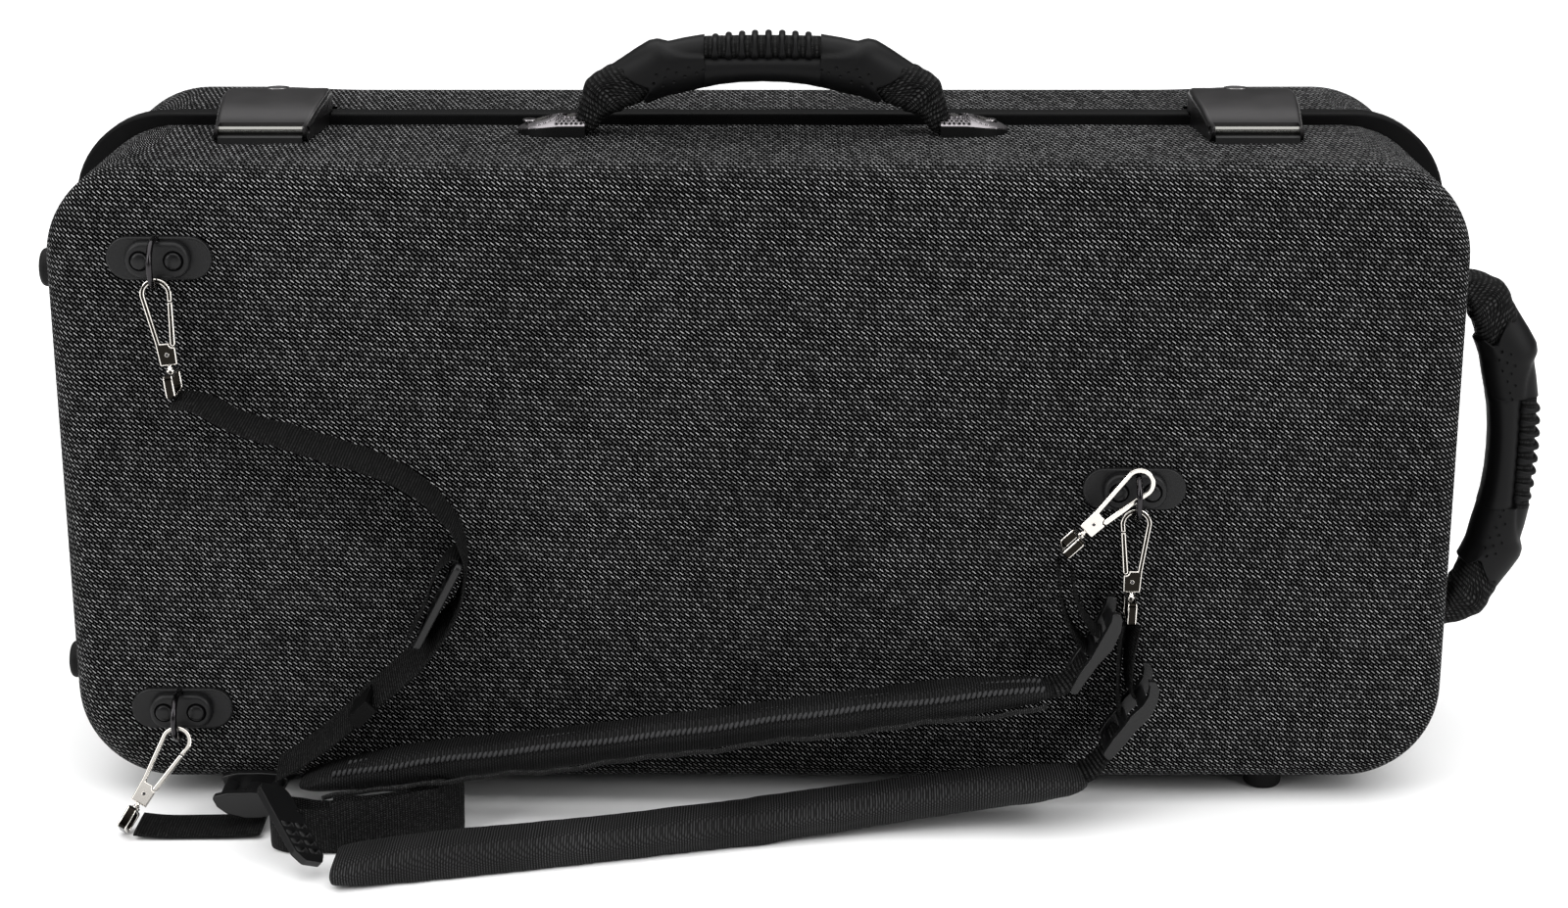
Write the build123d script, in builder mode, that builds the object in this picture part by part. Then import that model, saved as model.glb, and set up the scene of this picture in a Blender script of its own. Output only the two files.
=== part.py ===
from build123d import *
import os
from math import sqrt, sin, cos, radians

os.makedirs("parts", exist_ok=True)

# ---------------------------------------------------------------- dimensions
# Millimetres. The case stands on its hinge side, so Z is its short outline
# side, X its length and Y its thickness. Positions below are given from the
# middle of the length (x), the parting line of the two shells (y) and the
# floor (z); DX and DY then put the origin at the middle of the base rectangle.
DX, DY = -18.7, 57.0

W, H = 630.0, 291.0          # outline of the closed case, length and height
Z0 = 10.0                    # underside of the case above the floor (feet)
ZT = Z0 + H                  # top side
ZM = Z0 + H / 2
DB = 103.0                   # depth of the back shell
DL = 75.0                    # depth of the lid at its middle
DLE = 84.0                   # depth of the lid at its two ends
RC = 44.0                    # outline corner radius
RE_B, RE_L = 15.0, 11.0      # rounding of the back and of the lid face
T_COVER, T_CORE = 1.2, 3.8   # woven cover and moulded core
LID_UP = 4.4                 # the lid stands this much higher than the back shell
BAND_W, BAND_P = 11.0, 4.0   # rim band on the lid: width, and how far it stands out below
BAND_S, BAND_T = 6.2, 5.5    # how far the band stands out at the ends and on top

Y_BACK, Y_LID = -5.6, -5.2   # the two shells meet here, with 0.4 mm between them
HINGE_Y, HINGE_Z = -5.4, 6.6 # lid hinge axis, along X
HINGE_X = (-200.0, 0.0, 200.0)

LATCH_X = (-225.0, 225.0)
PIN_Y, PIN_Z, PIN_R = -45.5, 305.9, 1.9      # latch lever pivot
BAIL_Y, BAIL_Z, BAIL_R = -30.0, 307.0, 0.9   # wire bail pivot on the lever
RING = {"upper": (-262.0, 260.5), "lower": (-264.5, 49.0), "right": (168.3, 154.5)}
RING_AX = -DB - 4.7          # y of the ring's swivel axis
RING_R = 1.35                # ring wire radius
HAND_Y = -24.0               # handle bracket line on the top
END_Y = -50.0                # handle bracket line on the right-hand end
BRK_IN, BRK_OUT = 84.0, 115.0
FOOT_H, FOOT_R = 10.0, 8.8
WEB_W, WEB_T = 25.0, 1.5     # strap webbing


def at(x, y, z):
    """A point given from the case's middle, as a point of the part."""
    return (x + DX, y + DY, z)


def frame_at(p, x_dir, z_dir):
    return Plane(origin=at(*p), x_dir=x_dir, z_dir=z_dir)


XZ_UP = dict(x_dir=(1, 0, 0), z_dir=(0, -1, 0))       # local y is up, normal to the viewer


def save(part, label):
    part.label = label
    export_step(part, "parts/" + label + ".step")


# ---------------------------------------------------------------- back shell
def back_solid(inset, depth_inset, open_y=Y_BACK):
    with BuildPart() as solid:
        with BuildSketch(frame_at((0, open_y, ZM), **XZ_UP)):
            RectangleRounded(W - 2 * inset, H - 2 * inset, RC - inset)
        extrude(amount=DB - depth_inset + open_y)
        fillet(solid.faces().sort_by(Axis.Y)[0].edges(), RE_B - inset)
    return solid.part


T_ALL = T_COVER + T_CORE
cover_out, core_out, core_in = back_solid(0, 0), back_solid(T_COVER, T_COVER), back_solid(T_ALL, T_ALL)

with BuildPart() as back_cover:
    add(cover_out)
    add(core_out, mode=Mode.SUBTRACT)
save(back_cover.part, "back_cover")

with BuildPart() as back_shell:
    add(core_out)
    add(core_in, mode=Mode.SUBTRACT)
save(back_shell.part, "back_shell")


# ---------------------------------------------------------------- lid
def lid_solid(inset, up=LID_UP, face_drop=0.0):
    """Lid outline extruded to a face that is deeper at both ends, joined to
    the middle by two tangent arcs each side."""
    lo, hi, x0, x1 = DL - inset - face_drop, DLE - inset - face_drop, 190.0, 246.0
    step, run = hi - lo, x1 - x0
    r = (run ** 2 + step ** 2) / (4 * step)
    xm, ym = (x0 + x1) / 2, (lo + hi) / 2
    a = sqrt(r * r - (run / 4) ** 2) if r > run / 4 else r
    # a point on each arc half way along it in x
    q = r - a
    with BuildPart() as solid:
        with BuildSketch(frame_at((0, Y_LID, ZM + up / 2), x_dir=(1, 0, 0), z_dir=(0, -1, 0))):
            RectangleRounded(W - 2 * inset, H + up - 2 * inset, RC - inset)
        extrude(amount=-(DLE - inset - Y_LID - face_drop))
        with BuildSketch(Plane(origin=at(0, 0, ZM), x_dir=(1, 0, 0), z_dir=(0, 0, 1))):
            with BuildLine():
                l1 = Line((-x0, lo), (x0, lo))
                l2 = ThreePointArc((x0, lo), (x0 + run / 4, lo + q), (xm, ym))
                l3 = ThreePointArc((xm, ym), (x1 - run / 4, hi - q), (x1, hi))
                l4 = Polyline((x1, hi), (x1, hi + 20), (-x1, hi + 20), (-x1, hi))
                l5 = ThreePointArc((-x1, hi), (-x1 + run / 4, hi - q), (-xm, ym))
                l6 = ThreePointArc((-xm, ym), (-x0 - run / 4, lo + q), (-x0, lo))
            make_face()
        extrude(amount=H, both=True, mode=Mode.SUBTRACT)
        front = solid.edges().filter_by(lambda e: e.center().Y > DY + DL - inset - face_drop - 1.5)
        front = front.filter_by(lambda e: abs(e.length - (H + up - 2 * inset)) > 1.0)
        fillet(front, RE_L - inset)
    return solid.part


lid_out, lid_mid, lid_in = lid_solid(0), lid_solid(T_COVER), lid_solid(T_ALL, up=0.0)


RIM_STEP = 3.0                # thickness of the band's flange in front of the lid's edge


def rim_step():
    """Room for the band's flange: all that lies outside the back shell's outline."""
    with BuildPart() as step:
        with BuildSketch(frame_at((0, Y_LID - 1, ZM), **XZ_UP)):
            Rectangle(W + 60, H + 60)
            RectangleRounded(W, H, RC, mode=Mode.SUBTRACT)
        extrude(amount=-(RIM_STEP + 1))
    return step.part


def latch_recess(y1, z0):
    """Block that clears the lid's top, or the band's, under each latch lever."""
    with BuildPart() as block:
        with BuildSketch(frame_at((0, 0, z0), x_dir=(1, 0, 0), z_dir=(0, 0, 1))):
            with Locations(*[(x, (Y_LID - 2 + y1) / 2) for x in LATCH_X]):
                Rectangle(50.6, y1 - Y_LID + 2)
        extrude(amount=20)
    return block.part



with BuildPart() as lid_cover:
    add(lid_out)
    add(lid_mid, mode=Mode.SUBTRACT)
    add(rim_step(), mode=Mode.SUBTRACT)
    add(latch_recess(18.6, ZT), mode=Mode.SUBTRACT)
save(lid_cover.part, "lid_cover")

with BuildPart() as lid_shell:
    add(lid_mid)
    add(lid_in, mode=Mode.SUBTRACT)
    add(rim_step(), mode=Mode.SUBTRACT)
    add(latch_recess(18.6, ZT), mode=Mode.SUBTRACT)
save(lid_shell.part, "lid_shell")


# ---------------------------------------------------------------- rim band on the lid
with BuildPart() as lid_rim:
    with BuildSketch(frame_at((0, Y_LID, ZM), **XZ_UP)):
        with Locations((0, (BAND_T - BAND_P) / 2)):
            RectangleRounded(W + 2 * BAND_S, H + BAND_P + BAND_T, RC - 1.0)
        RectangleRounded(W, H, RC, mode=Mode.SUBTRACT)
    extrude(amount=-BAND_W)
    # behind its flange the band takes the lid, which is a little higher
    with BuildSketch(frame_at((0, Y_LID + RIM_STEP, ZM), **XZ_UP)):
        with Locations((0, LID_UP / 2)):
            RectangleRounded(W, H + LID_UP, RC)
    extrude(amount=-BAND_W, mode=Mode.SUBTRACT)
    rims = lid_rim.edges().filter_by(lambda e: abs(abs(e.center().Y - DY - Y_LID - BAND_W / 2) - BAND_W / 2) < 0.01)
    rims = rims.filter_by(lambda e: e.bounding_box().max.X - DX - W / 2 > 1
                          or e.bounding_box().min.X - DX + W / 2 < -1
                          or e.bounding_box().max.Z > ZT + LID_UP + 0.6 or e.bounding_box().min.Z < Z0 - 1)
    fillet(rims.filter_by(lambda e: e.center().Y - DY < 0), 1.6)
    rear = lid_rim.edges().filter_by(lambda e: abs(e.center().Y - DY - Y_LID - BAND_W) < 0.01)
    rear = rear.filter_by(lambda e: e.bounding_box().max.X - DX - W / 2 > 1
                          or e.bounding_box().min.X - DX + W / 2 < -1
                          or e.bounding_box().max.Z > ZT + LID_UP + 0.6 or e.bounding_box().min.Z < Z0 - 1)
    fillet(rear, 0.8)
    add(latch_recess(18.6, ZT + 4.0), mode=Mode.SUBTRACT)
    # gaps where the hinge leaves pass
    with BuildSketch(frame_at((0, 0, Z0 - 6), x_dir=(1, 0, 0), z_dir=(0, 0, 1))):
        with Locations(*[(x, 0) for x in HINGE_X]):
            Rectangle(44, 30)
    extrude(amount=6.5, mode=Mode.SUBTRACT)
save(lid_rim.part, "lid_rim_band")


# ---------------------------------------------------------------- hinges on the underside
LEAF_L, LEAF_T, KNUCKLE_R, HPIN_R = 40.0, 1.2, 2.5, 1.3


def leaf(x, y0, y1, knuckles, bore, reach):
    """Leaf plate from y0 to y1 with its knuckles, each an (x0, x1) span."""
    with BuildPart() as out:
        with BuildSketch(frame_at((x - LEAF_L / 2, 0, 0), x_dir=(0, 1, 0), z_dir=(1, 0, 0))):
            with Locations(((y0 + y1) / 2, Z0 - LEAF_T / 2)):
                Rectangle(abs(y1 - y0), LEAF_T)
        extrude(amount=LEAF_L)
        for a, b in knuckles:
            with BuildSketch(frame_at((x + a, 0, 0), x_dir=(0, 1, 0), z_dir=(1, 0, 0))):
                with Locations((HINGE_Y, HINGE_Z)):
                    Circle(KNUCKLE_R)
                with Locations(((HINGE_Y + reach) / 2, Z0 - LEAF_T / 2 - 0.35)):
                    Rectangle(abs(reach - HINGE_Y), LEAF_T - 0.1)
                with Locations((HINGE_Y, HINGE_Z)):
                    Circle(bore, mode=Mode.SUBTRACT)
            extrude(amount=b - a)
        with BuildSketch(frame_at((x, (y0 + y1) / 2, Z0 - 3), x_dir=(1, 0, 0), z_dir=(0, 0, 1))):
            with Locations((-13, 0), (13, 0)):
                Circle(1.6)
        extrude(amount=10, mode=Mode.SUBTRACT)
    return out.part


with BuildPart() as hinge_leaves_back:
    for hx in HINGE_X:
        add(leaf(hx, -9.2, -27.0, ((-20, -7), (7, 20)), HPIN_R, -10.0))
save(hinge_leaves_back.part, "hinge_leaves_back")

with BuildPart() as hinge_leaves_lid:
    for hx in HINGE_X:
        add(leaf(hx, -1.6, 17.0, ((-6.6, 6.6),), HPIN_R + 0.06, -1.0))
save(hinge_leaves_lid.part, "hinge_leaves_lid")

with BuildPart() as hinge_pins:
    for hx in HINGE_X:
        with BuildSketch(frame_at((hx - 20.5, HINGE_Y, HINGE_Z), x_dir=(0, 1, 0), z_dir=(1, 0, 0))):
            Circle(HPIN_R)
        extrude(amount=41)
save(hinge_pins.part, "hinge_pins")


# ---------------------------------------------------------------- latches
def yz_plane(x, y=0.0, z=0.0):
    """Sketch plane across the case: local x is +Y, local y is +Z."""
    return frame_at((x, y, z), x_dir=(0, 1, 0), z_dir=(1, 0, 0))


def latch_base(x):
    with BuildPart() as out:
        with BuildSketch(yz_plane(x - 19.0)):
            with BuildLine():
                Polyline((-52, ZT), (-51.2, 303.6), (-50.2, 304.2), (-43.4, 304.6), (-43.4, 305.0),
                         (-34, 303.6), (-14, 302.6), (-9, 302.2), (-9, ZT), close=True)
            make_face()
            with Locations((PIN_Y, PIN_Z)):
                Circle(PIN_R, mode=Mode.SUBTRACT)
        extrude(amount=38.0)
        # rivet holes and the well that the bail swings through
        with BuildSketch(frame_at((x, -22, ZT - 1), x_dir=(1, 0, 0), z_dir=(0, 0, 1))):
            with Locations((-9, 0), (9, 0)):
                Circle(1.6)
        extrude(amount=8, mode=Mode.SUBTRACT)
    return out.part


with BuildPart() as latch_bases:
    for lx in LATCH_X:
        add(latch_base(lx))
save(latch_bases.part, "latch_bases")

with BuildPart() as latch_pins:
    for lx in LATCH_X:
        with BuildSketch(yz_plane(lx - 20.4)):
            with Locations((PIN_Y, PIN_Z)):
                Circle(PIN_R)
        extrude(amount=40.8)
        chamfer(latch_pins.edges().filter_by(GeomType.CIRCLE).filter_by(
            lambda e: abs(abs(e.center().X - DX - lx) - 20.4) < 0.01), 0.3)
save(latch_pins.part, "latch_pins")


def lever_outline(grow):
    """Plan of the lever: narrower at its pivot, round at its free corners."""
    with BuildSketch() as plan:
        with BuildLine():
            FilletPolyline((-20.9 - grow, -50.6 - grow), (20.9 + grow, -50.6 - grow), (24.6 + grow, -8),
                           (24.2 + grow, 17.6 + grow), (-24.2 - grow, 17.6 + grow), (-24.6 - grow, -8),
                           radius=[0.6, 0.6, 20, 12, 12, 20], close=True)
        make_face()
    return plan.sketch


def lever_side(drop):
    """Side view of the lever's top, dropped by a wall thickness."""
    with BuildSketch() as side:
        with BuildLine():
            l1 = Line((-60, 290), (-60, 308.7 - drop))
            l2 = Line((-60, 308.7 - drop), (-46, 308.7 - drop))
            l3 = Spline((-46, 308.7 - drop), (-30, 312.0 - drop), (-12, 315.2 - drop), (3, 316.3 - drop),
                        (13, 315.2 - drop), (30, 308.0 - drop), tangents=((1, 0.05), (1, -0.55)))
            l4 = Polyline((30, 308.0 - drop), (30, 290), (-60, 290))
        make_face()
    return side.sketch


def latch_lever(x):
    base = frame_at((x, 0, ZT + 0.5), x_dir=(1, 0, 0), z_dir=(0, 0, 1))
    with BuildPart() as body:
        with BuildSketch(base):
            add(lever_outline(0))
        extrude(amount=20)
        with BuildSketch(yz_plane(x - 30)):
            add(lever_side(0))
        extrude(amount=60, mode=Mode.INTERSECT)
        fillet(body.faces().sort_by(Axis.Z)[-1].edges().filter_by(lambda e: e.center().Y - DY > -48), 2.6)
    with BuildPart() as hollow:
        with BuildSketch(frame_at((x, 0, ZT - 5), x_dir=(1, 0, 0), z_dir=(0, 0, 1))):
            add(lever_outline(-2.2))
        extrude(amount=26)
        with BuildSketch(yz_plane(x - 30)):
            add(lever_side(2.2))
        extrude(amount=60, mode=Mode.INTERSECT)
    with BuildPart() as lever:
        add(body.part)
        add(hollow.part, mode=Mode.SUBTRACT)
        # open front between the arms, round the pivot
        with BuildSketch(yz_plane(x - 19.2)):
            with Locations((-55.5, 305)):
                Rectangle(26, 12)
        extrude(amount=38.4, mode=Mode.SUBTRACT)
        # arms rounded about the pivot
        with BuildSketch(yz_plane(x - 30)):
            with BuildLine():
                Polyline((-60, 295), (PIN_Y, 295), (PIN_Y, PIN_Z - 4.45), (-60, PIN_Z - 4.45), close=True)
            make_face()
        extrude(amount=60, mode=Mode.SUBTRACT)
        with BuildSketch(yz_plane(x - 30)):
            with Locations((PIN_Y - 5, PIN_Z - 5)):
                Rectangle(10, 10)
            with Locations((PIN_Y, PIN_Z)):
                Circle(4.45, mode=Mode.SUBTRACT)
        extrude(amount=60, mode=Mode.SUBTRACT)
        with BuildSketch(yz_plane(x - 30)):
            with Locations((PIN_Y - 5, PIN_Z + 2.5)):
                Rectangle(10, 7)
            with Locations((PIN_Y, PIN_Z)):
                Circle(4.6, mode=Mode.SUBTRACT)
        extrude(amount=60, mode=Mode.SUBTRACT)
        with BuildSketch(yz_plane(x - 30)):
            with Locations((PIN_Y, PIN_Z)):
                Circle(PIN_R + 0.06)
        extrude(amount=60, mode=Mode.SUBTRACT)
        # the side walls step over the rim band
        with BuildSketch(yz_plane(x - 30)):
            with BuildLine():
                FilletPolyline((-6.6, 290), (-6.6, 305.9), (7.2, 305.9), (7.2, 290), radius=1.0)
                Line((7.2, 290), (-6.6, 290))
            make_face()
        extrude(amount=60, mode=Mode.SUBTRACT)
        # lugs for the bail
        for s in (-1, 1):
            with BuildSketch(yz_plane(x + s * 16.6 - 1.2)):
                with Locations((BAIL_Y, BAIL_Z)):
                    Circle(2.0)
                with Locations((BAIL_Y, BAIL_Z + 1.7)):
                    Rectangle(4.0, 3.4)
                with Locations((BAIL_Y, BAIL_Z)):
                    Circle(BAIL_R + 0.08, mode=Mode.SUBTRACT)
            extrude(amount=2.4)
        # finger scoop in the free edge
        with Locations(Location(at(x - 1.5, 9.5, 324.6))):
            Sphere(10.5, mode=Mode.SUBTRACT)
    return lever.part


def wire(points, radius, bend, closed=False):
    """Round wire along straight runs joined by bends."""
    with BuildPart() as out:
        with BuildLine() as path:
            FilletPolyline(*points, radius=bend, close=closed)
        start = path.line @ 0
        tangent = path.line % 0
        with BuildSketch(Plane(origin=start, z_dir=tangent)):
            Circle(radius)
        sweep(path=path.line)
    return out.part


def latch_bail(x):
    far = 11.6
    pts = [at(x - 17.6, BAIL_Y, BAIL_Z), at(x - 13.4, BAIL_Y, BAIL_Z), at(x - 13.4, far, BAIL_Z),
           at(x + 13.4, far, BAIL_Z), at(x + 13.4, BAIL_Y, BAIL_Z), at(x + 17.6, BAIL_Y, BAIL_Z)]
    return wire(pts, BAIL_R, [1.4, 3.0, 3.0, 1.4])


def latch_strike(x):
    with BuildPart() as out:
        with BuildSketch(yz_plane(x - 11)):
            with BuildLine():
                Polyline((6.4, ZT), (6.4, ZT + 1.2), (8.2, ZT + 1.2), (8.2, 308.6), (11.4, 308.9), (11.4, 308.3),
                         (10.0, 307.6), (10.0, ZT + 1.2), (15.1, ZT + 1.2), (15.1, ZT), close=True)
            make_face()
        extrude(amount=22)
        with BuildSketch(frame_at((x, 12.7, ZT - 1), x_dir=(1, 0, 0), z_dir=(0, 0, 1))):
            with Locations((-6.5, 0), (6.5, 0)):
                Circle(1.6)
        extrude(amount=4, mode=Mode.SUBTRACT)
    return out.part


with BuildPart() as latch_strikes:
    for lx in LATCH_X:
        add(latch_strike(lx))
save(latch_strikes.part, "latch_strikes")

for name, lx in zip(("left", "right"), LATCH_X):
    save(latch_lever(lx), "latch_lever_" + name)
    save(latch_bail(lx), "latch_bail_" + name)


# ---------------------------------------------------------------- rivets through the shells
def rivet(p, outward, head_r, head_t, shank_r, reach, dome=True):
    """Rivet with its head's underside at p, its shank reaching inwards."""
    with BuildPart() as out:
        with BuildSketch(Plane(origin=p, z_dir=outward)):
            Circle(head_r)
        extrude(amount=head_t)
        if dome:
            top = out.faces().sort_by(Axis(p, outward))[-1]
            fillet(top.edges(), head_t * 0.9)
        with BuildSketch(Plane(origin=p, z_dir=outward)):
            Circle(shank_r)
        extrude(amount=-reach)
    return out.part


with BuildPart() as shell_rivets:
    for hx in HINGE_X:
        for dx in (-13, 13):
            add(rivet(at(hx + dx, -18.1, Z0 - LEAF_T), (0, 0, -1), 2.8, 1.2, 1.55, 1.2))
    for lx in LATCH_X:
        for dx in (-9, 9):
            add(rivet(at(lx + dx, -22, 303.2), (0, 0, 1), 2.6, 0.9, 1.55, 2.1))
save(shell_rivets.part, "shell_rivets")

with BuildPart() as lid_rivets:
    for hx in HINGE_X:
        for dx in (-13, 13):
            add(rivet(at(hx + dx, 7.7, Z0 - LEAF_T), (0, 0, -1), 2.8, 1.2, 1.55, 1.2))
    for lx in LATCH_X:
        for dx in (-6.5, 6.5):
            add(rivet(at(lx + dx, 12.7, ZT + 1.2), (0, 0, 1), 2.2, 0.9, 1.55, 1.2))
save(lid_rivets.part, "lid_rivets")


# ---------------------------------------------------------------- carrying handles
TOP_H = frame_at((0, HAND_Y, ZT), x_dir=(1, 0, 0), z_dir=(0, 0, 1))
END_H = frame_at((W / 2, END_Y, ZM), x_dir=(0, 0, 1), z_dir=(1, 0, 0))
EYELETS = (91.5, 105.5)
SEATS = (6.7, 5.4)           # height of the eyelet flanges' seats


def side_of(base, sign=1, shift=0.0):
    """Plane through the handle line, local x along it and local y outwards."""
    return Plane(origin=base.origin - base.y_dir * shift, x_dir=base.x_dir * sign, z_dir=-base.y_dir * sign)


def bracket(base, sign):
    plan = Plane(origin=base.origin, x_dir=base.x_dir * sign, z_dir=base.z_dir)
    with BuildPart() as out:
        with BuildSketch(plan):
            with BuildLine():
                FilletPolyline((BRK_IN - 3, -12.4), (99, -12.2), (114.5, -5.2), (114.5, 5.2), (99, 12.2),
                               (BRK_IN - 3, 12.4), radius=[1.2, 14, 5.0, 5.0, 14, 1.2], close=True)
            make_face()
        extrude(amount=9)
        with BuildSketch(side_of(base, sign)):
            with BuildLine():
                l1 = ThreePointArc((BRK_IN - 4, 7.4), (98, 6.9), (116, 3.4))
                l2 = Polyline((116, 3.4), (116, -1), (BRK_IN - 4, -1), (BRK_IN - 4, 7.4))
            make_face()
        extrude(amount=20, both=True, mode=Mode.INTERSECT)
        fillet(out.faces().filter_by(lambda f: f.normal_at().dot(plan.z_dir) > 0.5).edges(), 0.8)
        # mouth that the webbing enters
        with BuildSketch(side_of(base, sign)):
            with Locations((BRK_IN + 4.5, 2.6)):
                Rectangle(16, 4.4)
        extrude(amount=10.4, both=True, mode=Mode.SUBTRACT)
        with BuildSketch(plan):
            with Locations(*[(e, 0) for e in EYELETS]):
                Circle(1.9)
        extrude(amount=12, mode=Mode.SUBTRACT)
        for e, seat in zip(EYELETS, SEATS):
            with BuildSketch(plan.offset(seat)):
                with Locations((e, 0)):
                    Circle(3.35)
            extrude(amount=6, mode=Mode.SUBTRACT)
    return out.part


def bracket_rivet(base, sign, x, top):
    """Hollow eyelet rivet through a bracket."""
    centre = base.origin + base.x_dir * sign * x
    with BuildPart() as out:
        with BuildSketch(Plane(origin=centre, x_dir=base.x_dir, z_dir=base.z_dir)):
            Circle(1.85)
        extrude(amount=top)
        with BuildSketch(Plane(origin=centre + base.z_dir * top, x_dir=base.x_dir, z_dir=base.z_dir)):
            Circle(3.3)
        extrude(amount=0.9)
        fillet(out.faces().sort_by(Axis(centre, base.z_dir))[-1].edges(), 0.6)
        with BuildSketch(Plane(origin=centre + base.z_dir * 1.0, x_dir=base.x_dir, z_dir=base.z_dir)):
            Circle(1.0)
        extrude(amount=12, mode=Mode.SUBTRACT)
    return out.part


def grip(base):
    """Arched grip with slanted ends."""
    with BuildPart() as out:
        with BuildSketch(side_of(base)):
            with BuildLine():
                l1 = Spline((-73, 32.5), (-61, 43.8), (-37, 46.4), (0, 47.4), (37, 46.4), (61, 43.8), (73, 32.5))
                l2 = Line((73, 32.5), (62, 14.8))
                l3 = ThreePointArc((62, 14.8), (0, 21.2), (-62, 14.8))
                l4 = Line((-62, 14.8), (-73, 32.5))
            make_face()
        extrude(amount=11.5, both=True)
        flat = out.faces().filter_by(lambda f: abs(f.normal_at().dot(base.y_dir)) > 0.99)
        fillet(flat.edges(), 6.5)
    return out.part


def handle_webbing(base):
    """Two lengths of folded webbing, from the brackets up to the grip."""
    with BuildPart() as out:
        for sign in (-1, 1):
            with BuildSketch(side_of(base, sign)):
                with BuildLine():
                    FilletPolyline((73.1, 2.7), (76.2, 15.0), (66.0, 25.6), radius=[7.5])
                trace(line_width=12.5)
            extrude(amount=4.5, both=True)
            with BuildSketch(side_of(base, sign)):
                with Locations((82.0, 2.6)):
                    Rectangle(14.0, 3.6)
            extrude(amount=9.8, both=True)
        # square off against the slanted ends of the grip
        for sign in (-1, 1):
            with BuildSketch(side_of(base, sign)):
                with BuildLine():
                    Polyline((73.9, 33.4), (62.1, 14.4), (40, 14.4), (40, 46), (73.9, 46), close=True)
                make_face()
            extrude(amount=12, both=True, mode=Mode.SUBTRACT)
    return out.part


for label, base in (("top", TOP_H), ("end", END_H)):
    with BuildPart() as handle_brackets:
        for sign in (-1, 1):
            add(bracket(base, sign))
    save(handle_brackets.part, "handle_brackets_" + label)
    save(grip(base), label + "_handle_grip")
    save(handle_webbing(base), label + "_handle_webbing")

with BuildPart() as bracket_rivets:
    for base in (TOP_H, END_H):
        for sign in (-1, 1):
            for x, top in zip(EYELETS, SEATS):
                add(bracket_rivet(base, sign, x, top))
save(bracket_rivets.part, "bracket_rivets")


# ---------------------------------------------------------------- strap rings
def back_plane(x, z, out=0.0):
    """Plane on the back face: local x is +X, local y is up, normal outwards."""
    return frame_at((x, -DB - out, z), **XZ_UP)


def ring_base(x, z):
    with BuildPart() as out:
        with BuildSketch(back_plane(x, z)):
            SlotOverall(46.6, 19.5)
        extrude(amount=2.8)
        fillet(out.faces().sort_by(Axis.Y)[0].edges(), 1.2)
        with BuildSketch(back_plane(x, z)):
            RectangleRounded(28.6, 16.6, 7.6)
        extrude(amount=7.4)
        fillet(out.faces().sort_by(Axis.Y)[0].edges(), 2.2)
        with BuildSketch(frame_at((x, RING_AX, z - 12), x_dir=(1, 0, 0), z_dir=(0, 0, 1))):
            Circle(RING_R + 0.08)
        extrude(amount=24, mode=Mode.SUBTRACT)
        with BuildSketch(back_plane(x, z)):
            with Locations((-7.4, 0), (7.4, 0)):
                Circle(1.75)
        extrude(amount=9, mode=Mode.SUBTRACT)
    return out.part


def d_ring(x, z):
    """Ring wire in the plane across the case, its straight side in the base."""
    y0, y1, h = RING_AX, -DB - 22.2, 10.2
    with BuildPart() as out:
        with BuildLine(Plane(origin=at(x, 0, z), x_dir=(0, 1, 0), z_dir=(1, 0, 0))) as path:
            FilletPolyline((y0, h), (y1, h), (y1, -h), (y0, -h), radius=[1.7, 9.8, 9.8, 1.7], close=True)
        with BuildSketch(Plane(origin=path.line @ 0, z_dir=path.line % 0)):
            Circle(RING_R)
        sweep(path=path.line)
    return out.part


with BuildPart() as ring_bases:
    for rx, rz in RING.values():
        add(ring_base(rx, rz))
save(ring_bases.part, "ring_bases")

with BuildPart() as ring_rivets:
    for rx, rz in RING.values():
        for dx in (-7.4, 7.4):
            add(rivet(at(rx + dx, -DB - 7.4, rz), (0, -1, 0), 3.7, 1.6, 1.7, 7.4))
save(ring_rivets.part, "ring_rivets")

for name, (rx, rz) in RING.items():
    save(d_ring(rx, rz), "d_ring_" + name)


# ---------------------------------------------------------------- snap hooks
HOOK_T = 2.6                 # frame thickness
GATE_PIVOT = (3.15, -22.9)


def hook_plane(p, up, facing):
    """Plane of a hook: local y runs from the eye up to its top, normal outwards."""
    u = Vector(*up).normalized()
    f = Vector(*facing)
    r = u.cross(f).normalized()
    return Plane(origin=at(*p), x_dir=r, z_dir=r.cross(u))


def loop_outline(r_top, x_low, y_low):
    with BuildSketch() as out:
        with Locations((0, 0)):
            Circle(r_top)
        with BuildLine():
            Polyline((-r_top, 0), (-x_low, y_low), (x_low, y_low), (r_top, 0), close=True)
        make_face()
    return out.sketch


def hook_frame(base, s):
    with BuildPart() as out:
        with BuildSketch(base.offset(-HOOK_T / 2)):
            add(loop_outline(7.0, 4.2, -22.6))
            add(loop_outline(4.9, 2.2, -22.6), mode=Mode.SUBTRACT)
            with BuildLine():
                Polyline((-4.2, -22.4), (-3.8, -32.4), (3.8, -32.4), (4.2, -22.4), close=True)
            make_face()
            # space for the gate
            with BuildLine():
                Polyline((s * 1.6, -3.9), (s * 12, -3.9), (s * 12, -22.2), (s * 1.6, -22.2), close=True)
            make_face(mode=Mode.SUBTRACT)
            with Locations((s * GATE_PIVOT[0], GATE_PIVOT[1])):
                Circle(1.35, mode=Mode.SUBTRACT)
        extrude(amount=HOOK_T)
        # bore for the swivel post and the rivet through the block
        with BuildSketch(Plane(origin=base.from_local_coords((0, -33, 0)), x_dir=base.x_dir, z_dir=base.y_dir)):
            Circle(0.95)
        extrude(amount=5.4, mode=Mode.SUBTRACT)
    return out.part


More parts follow.
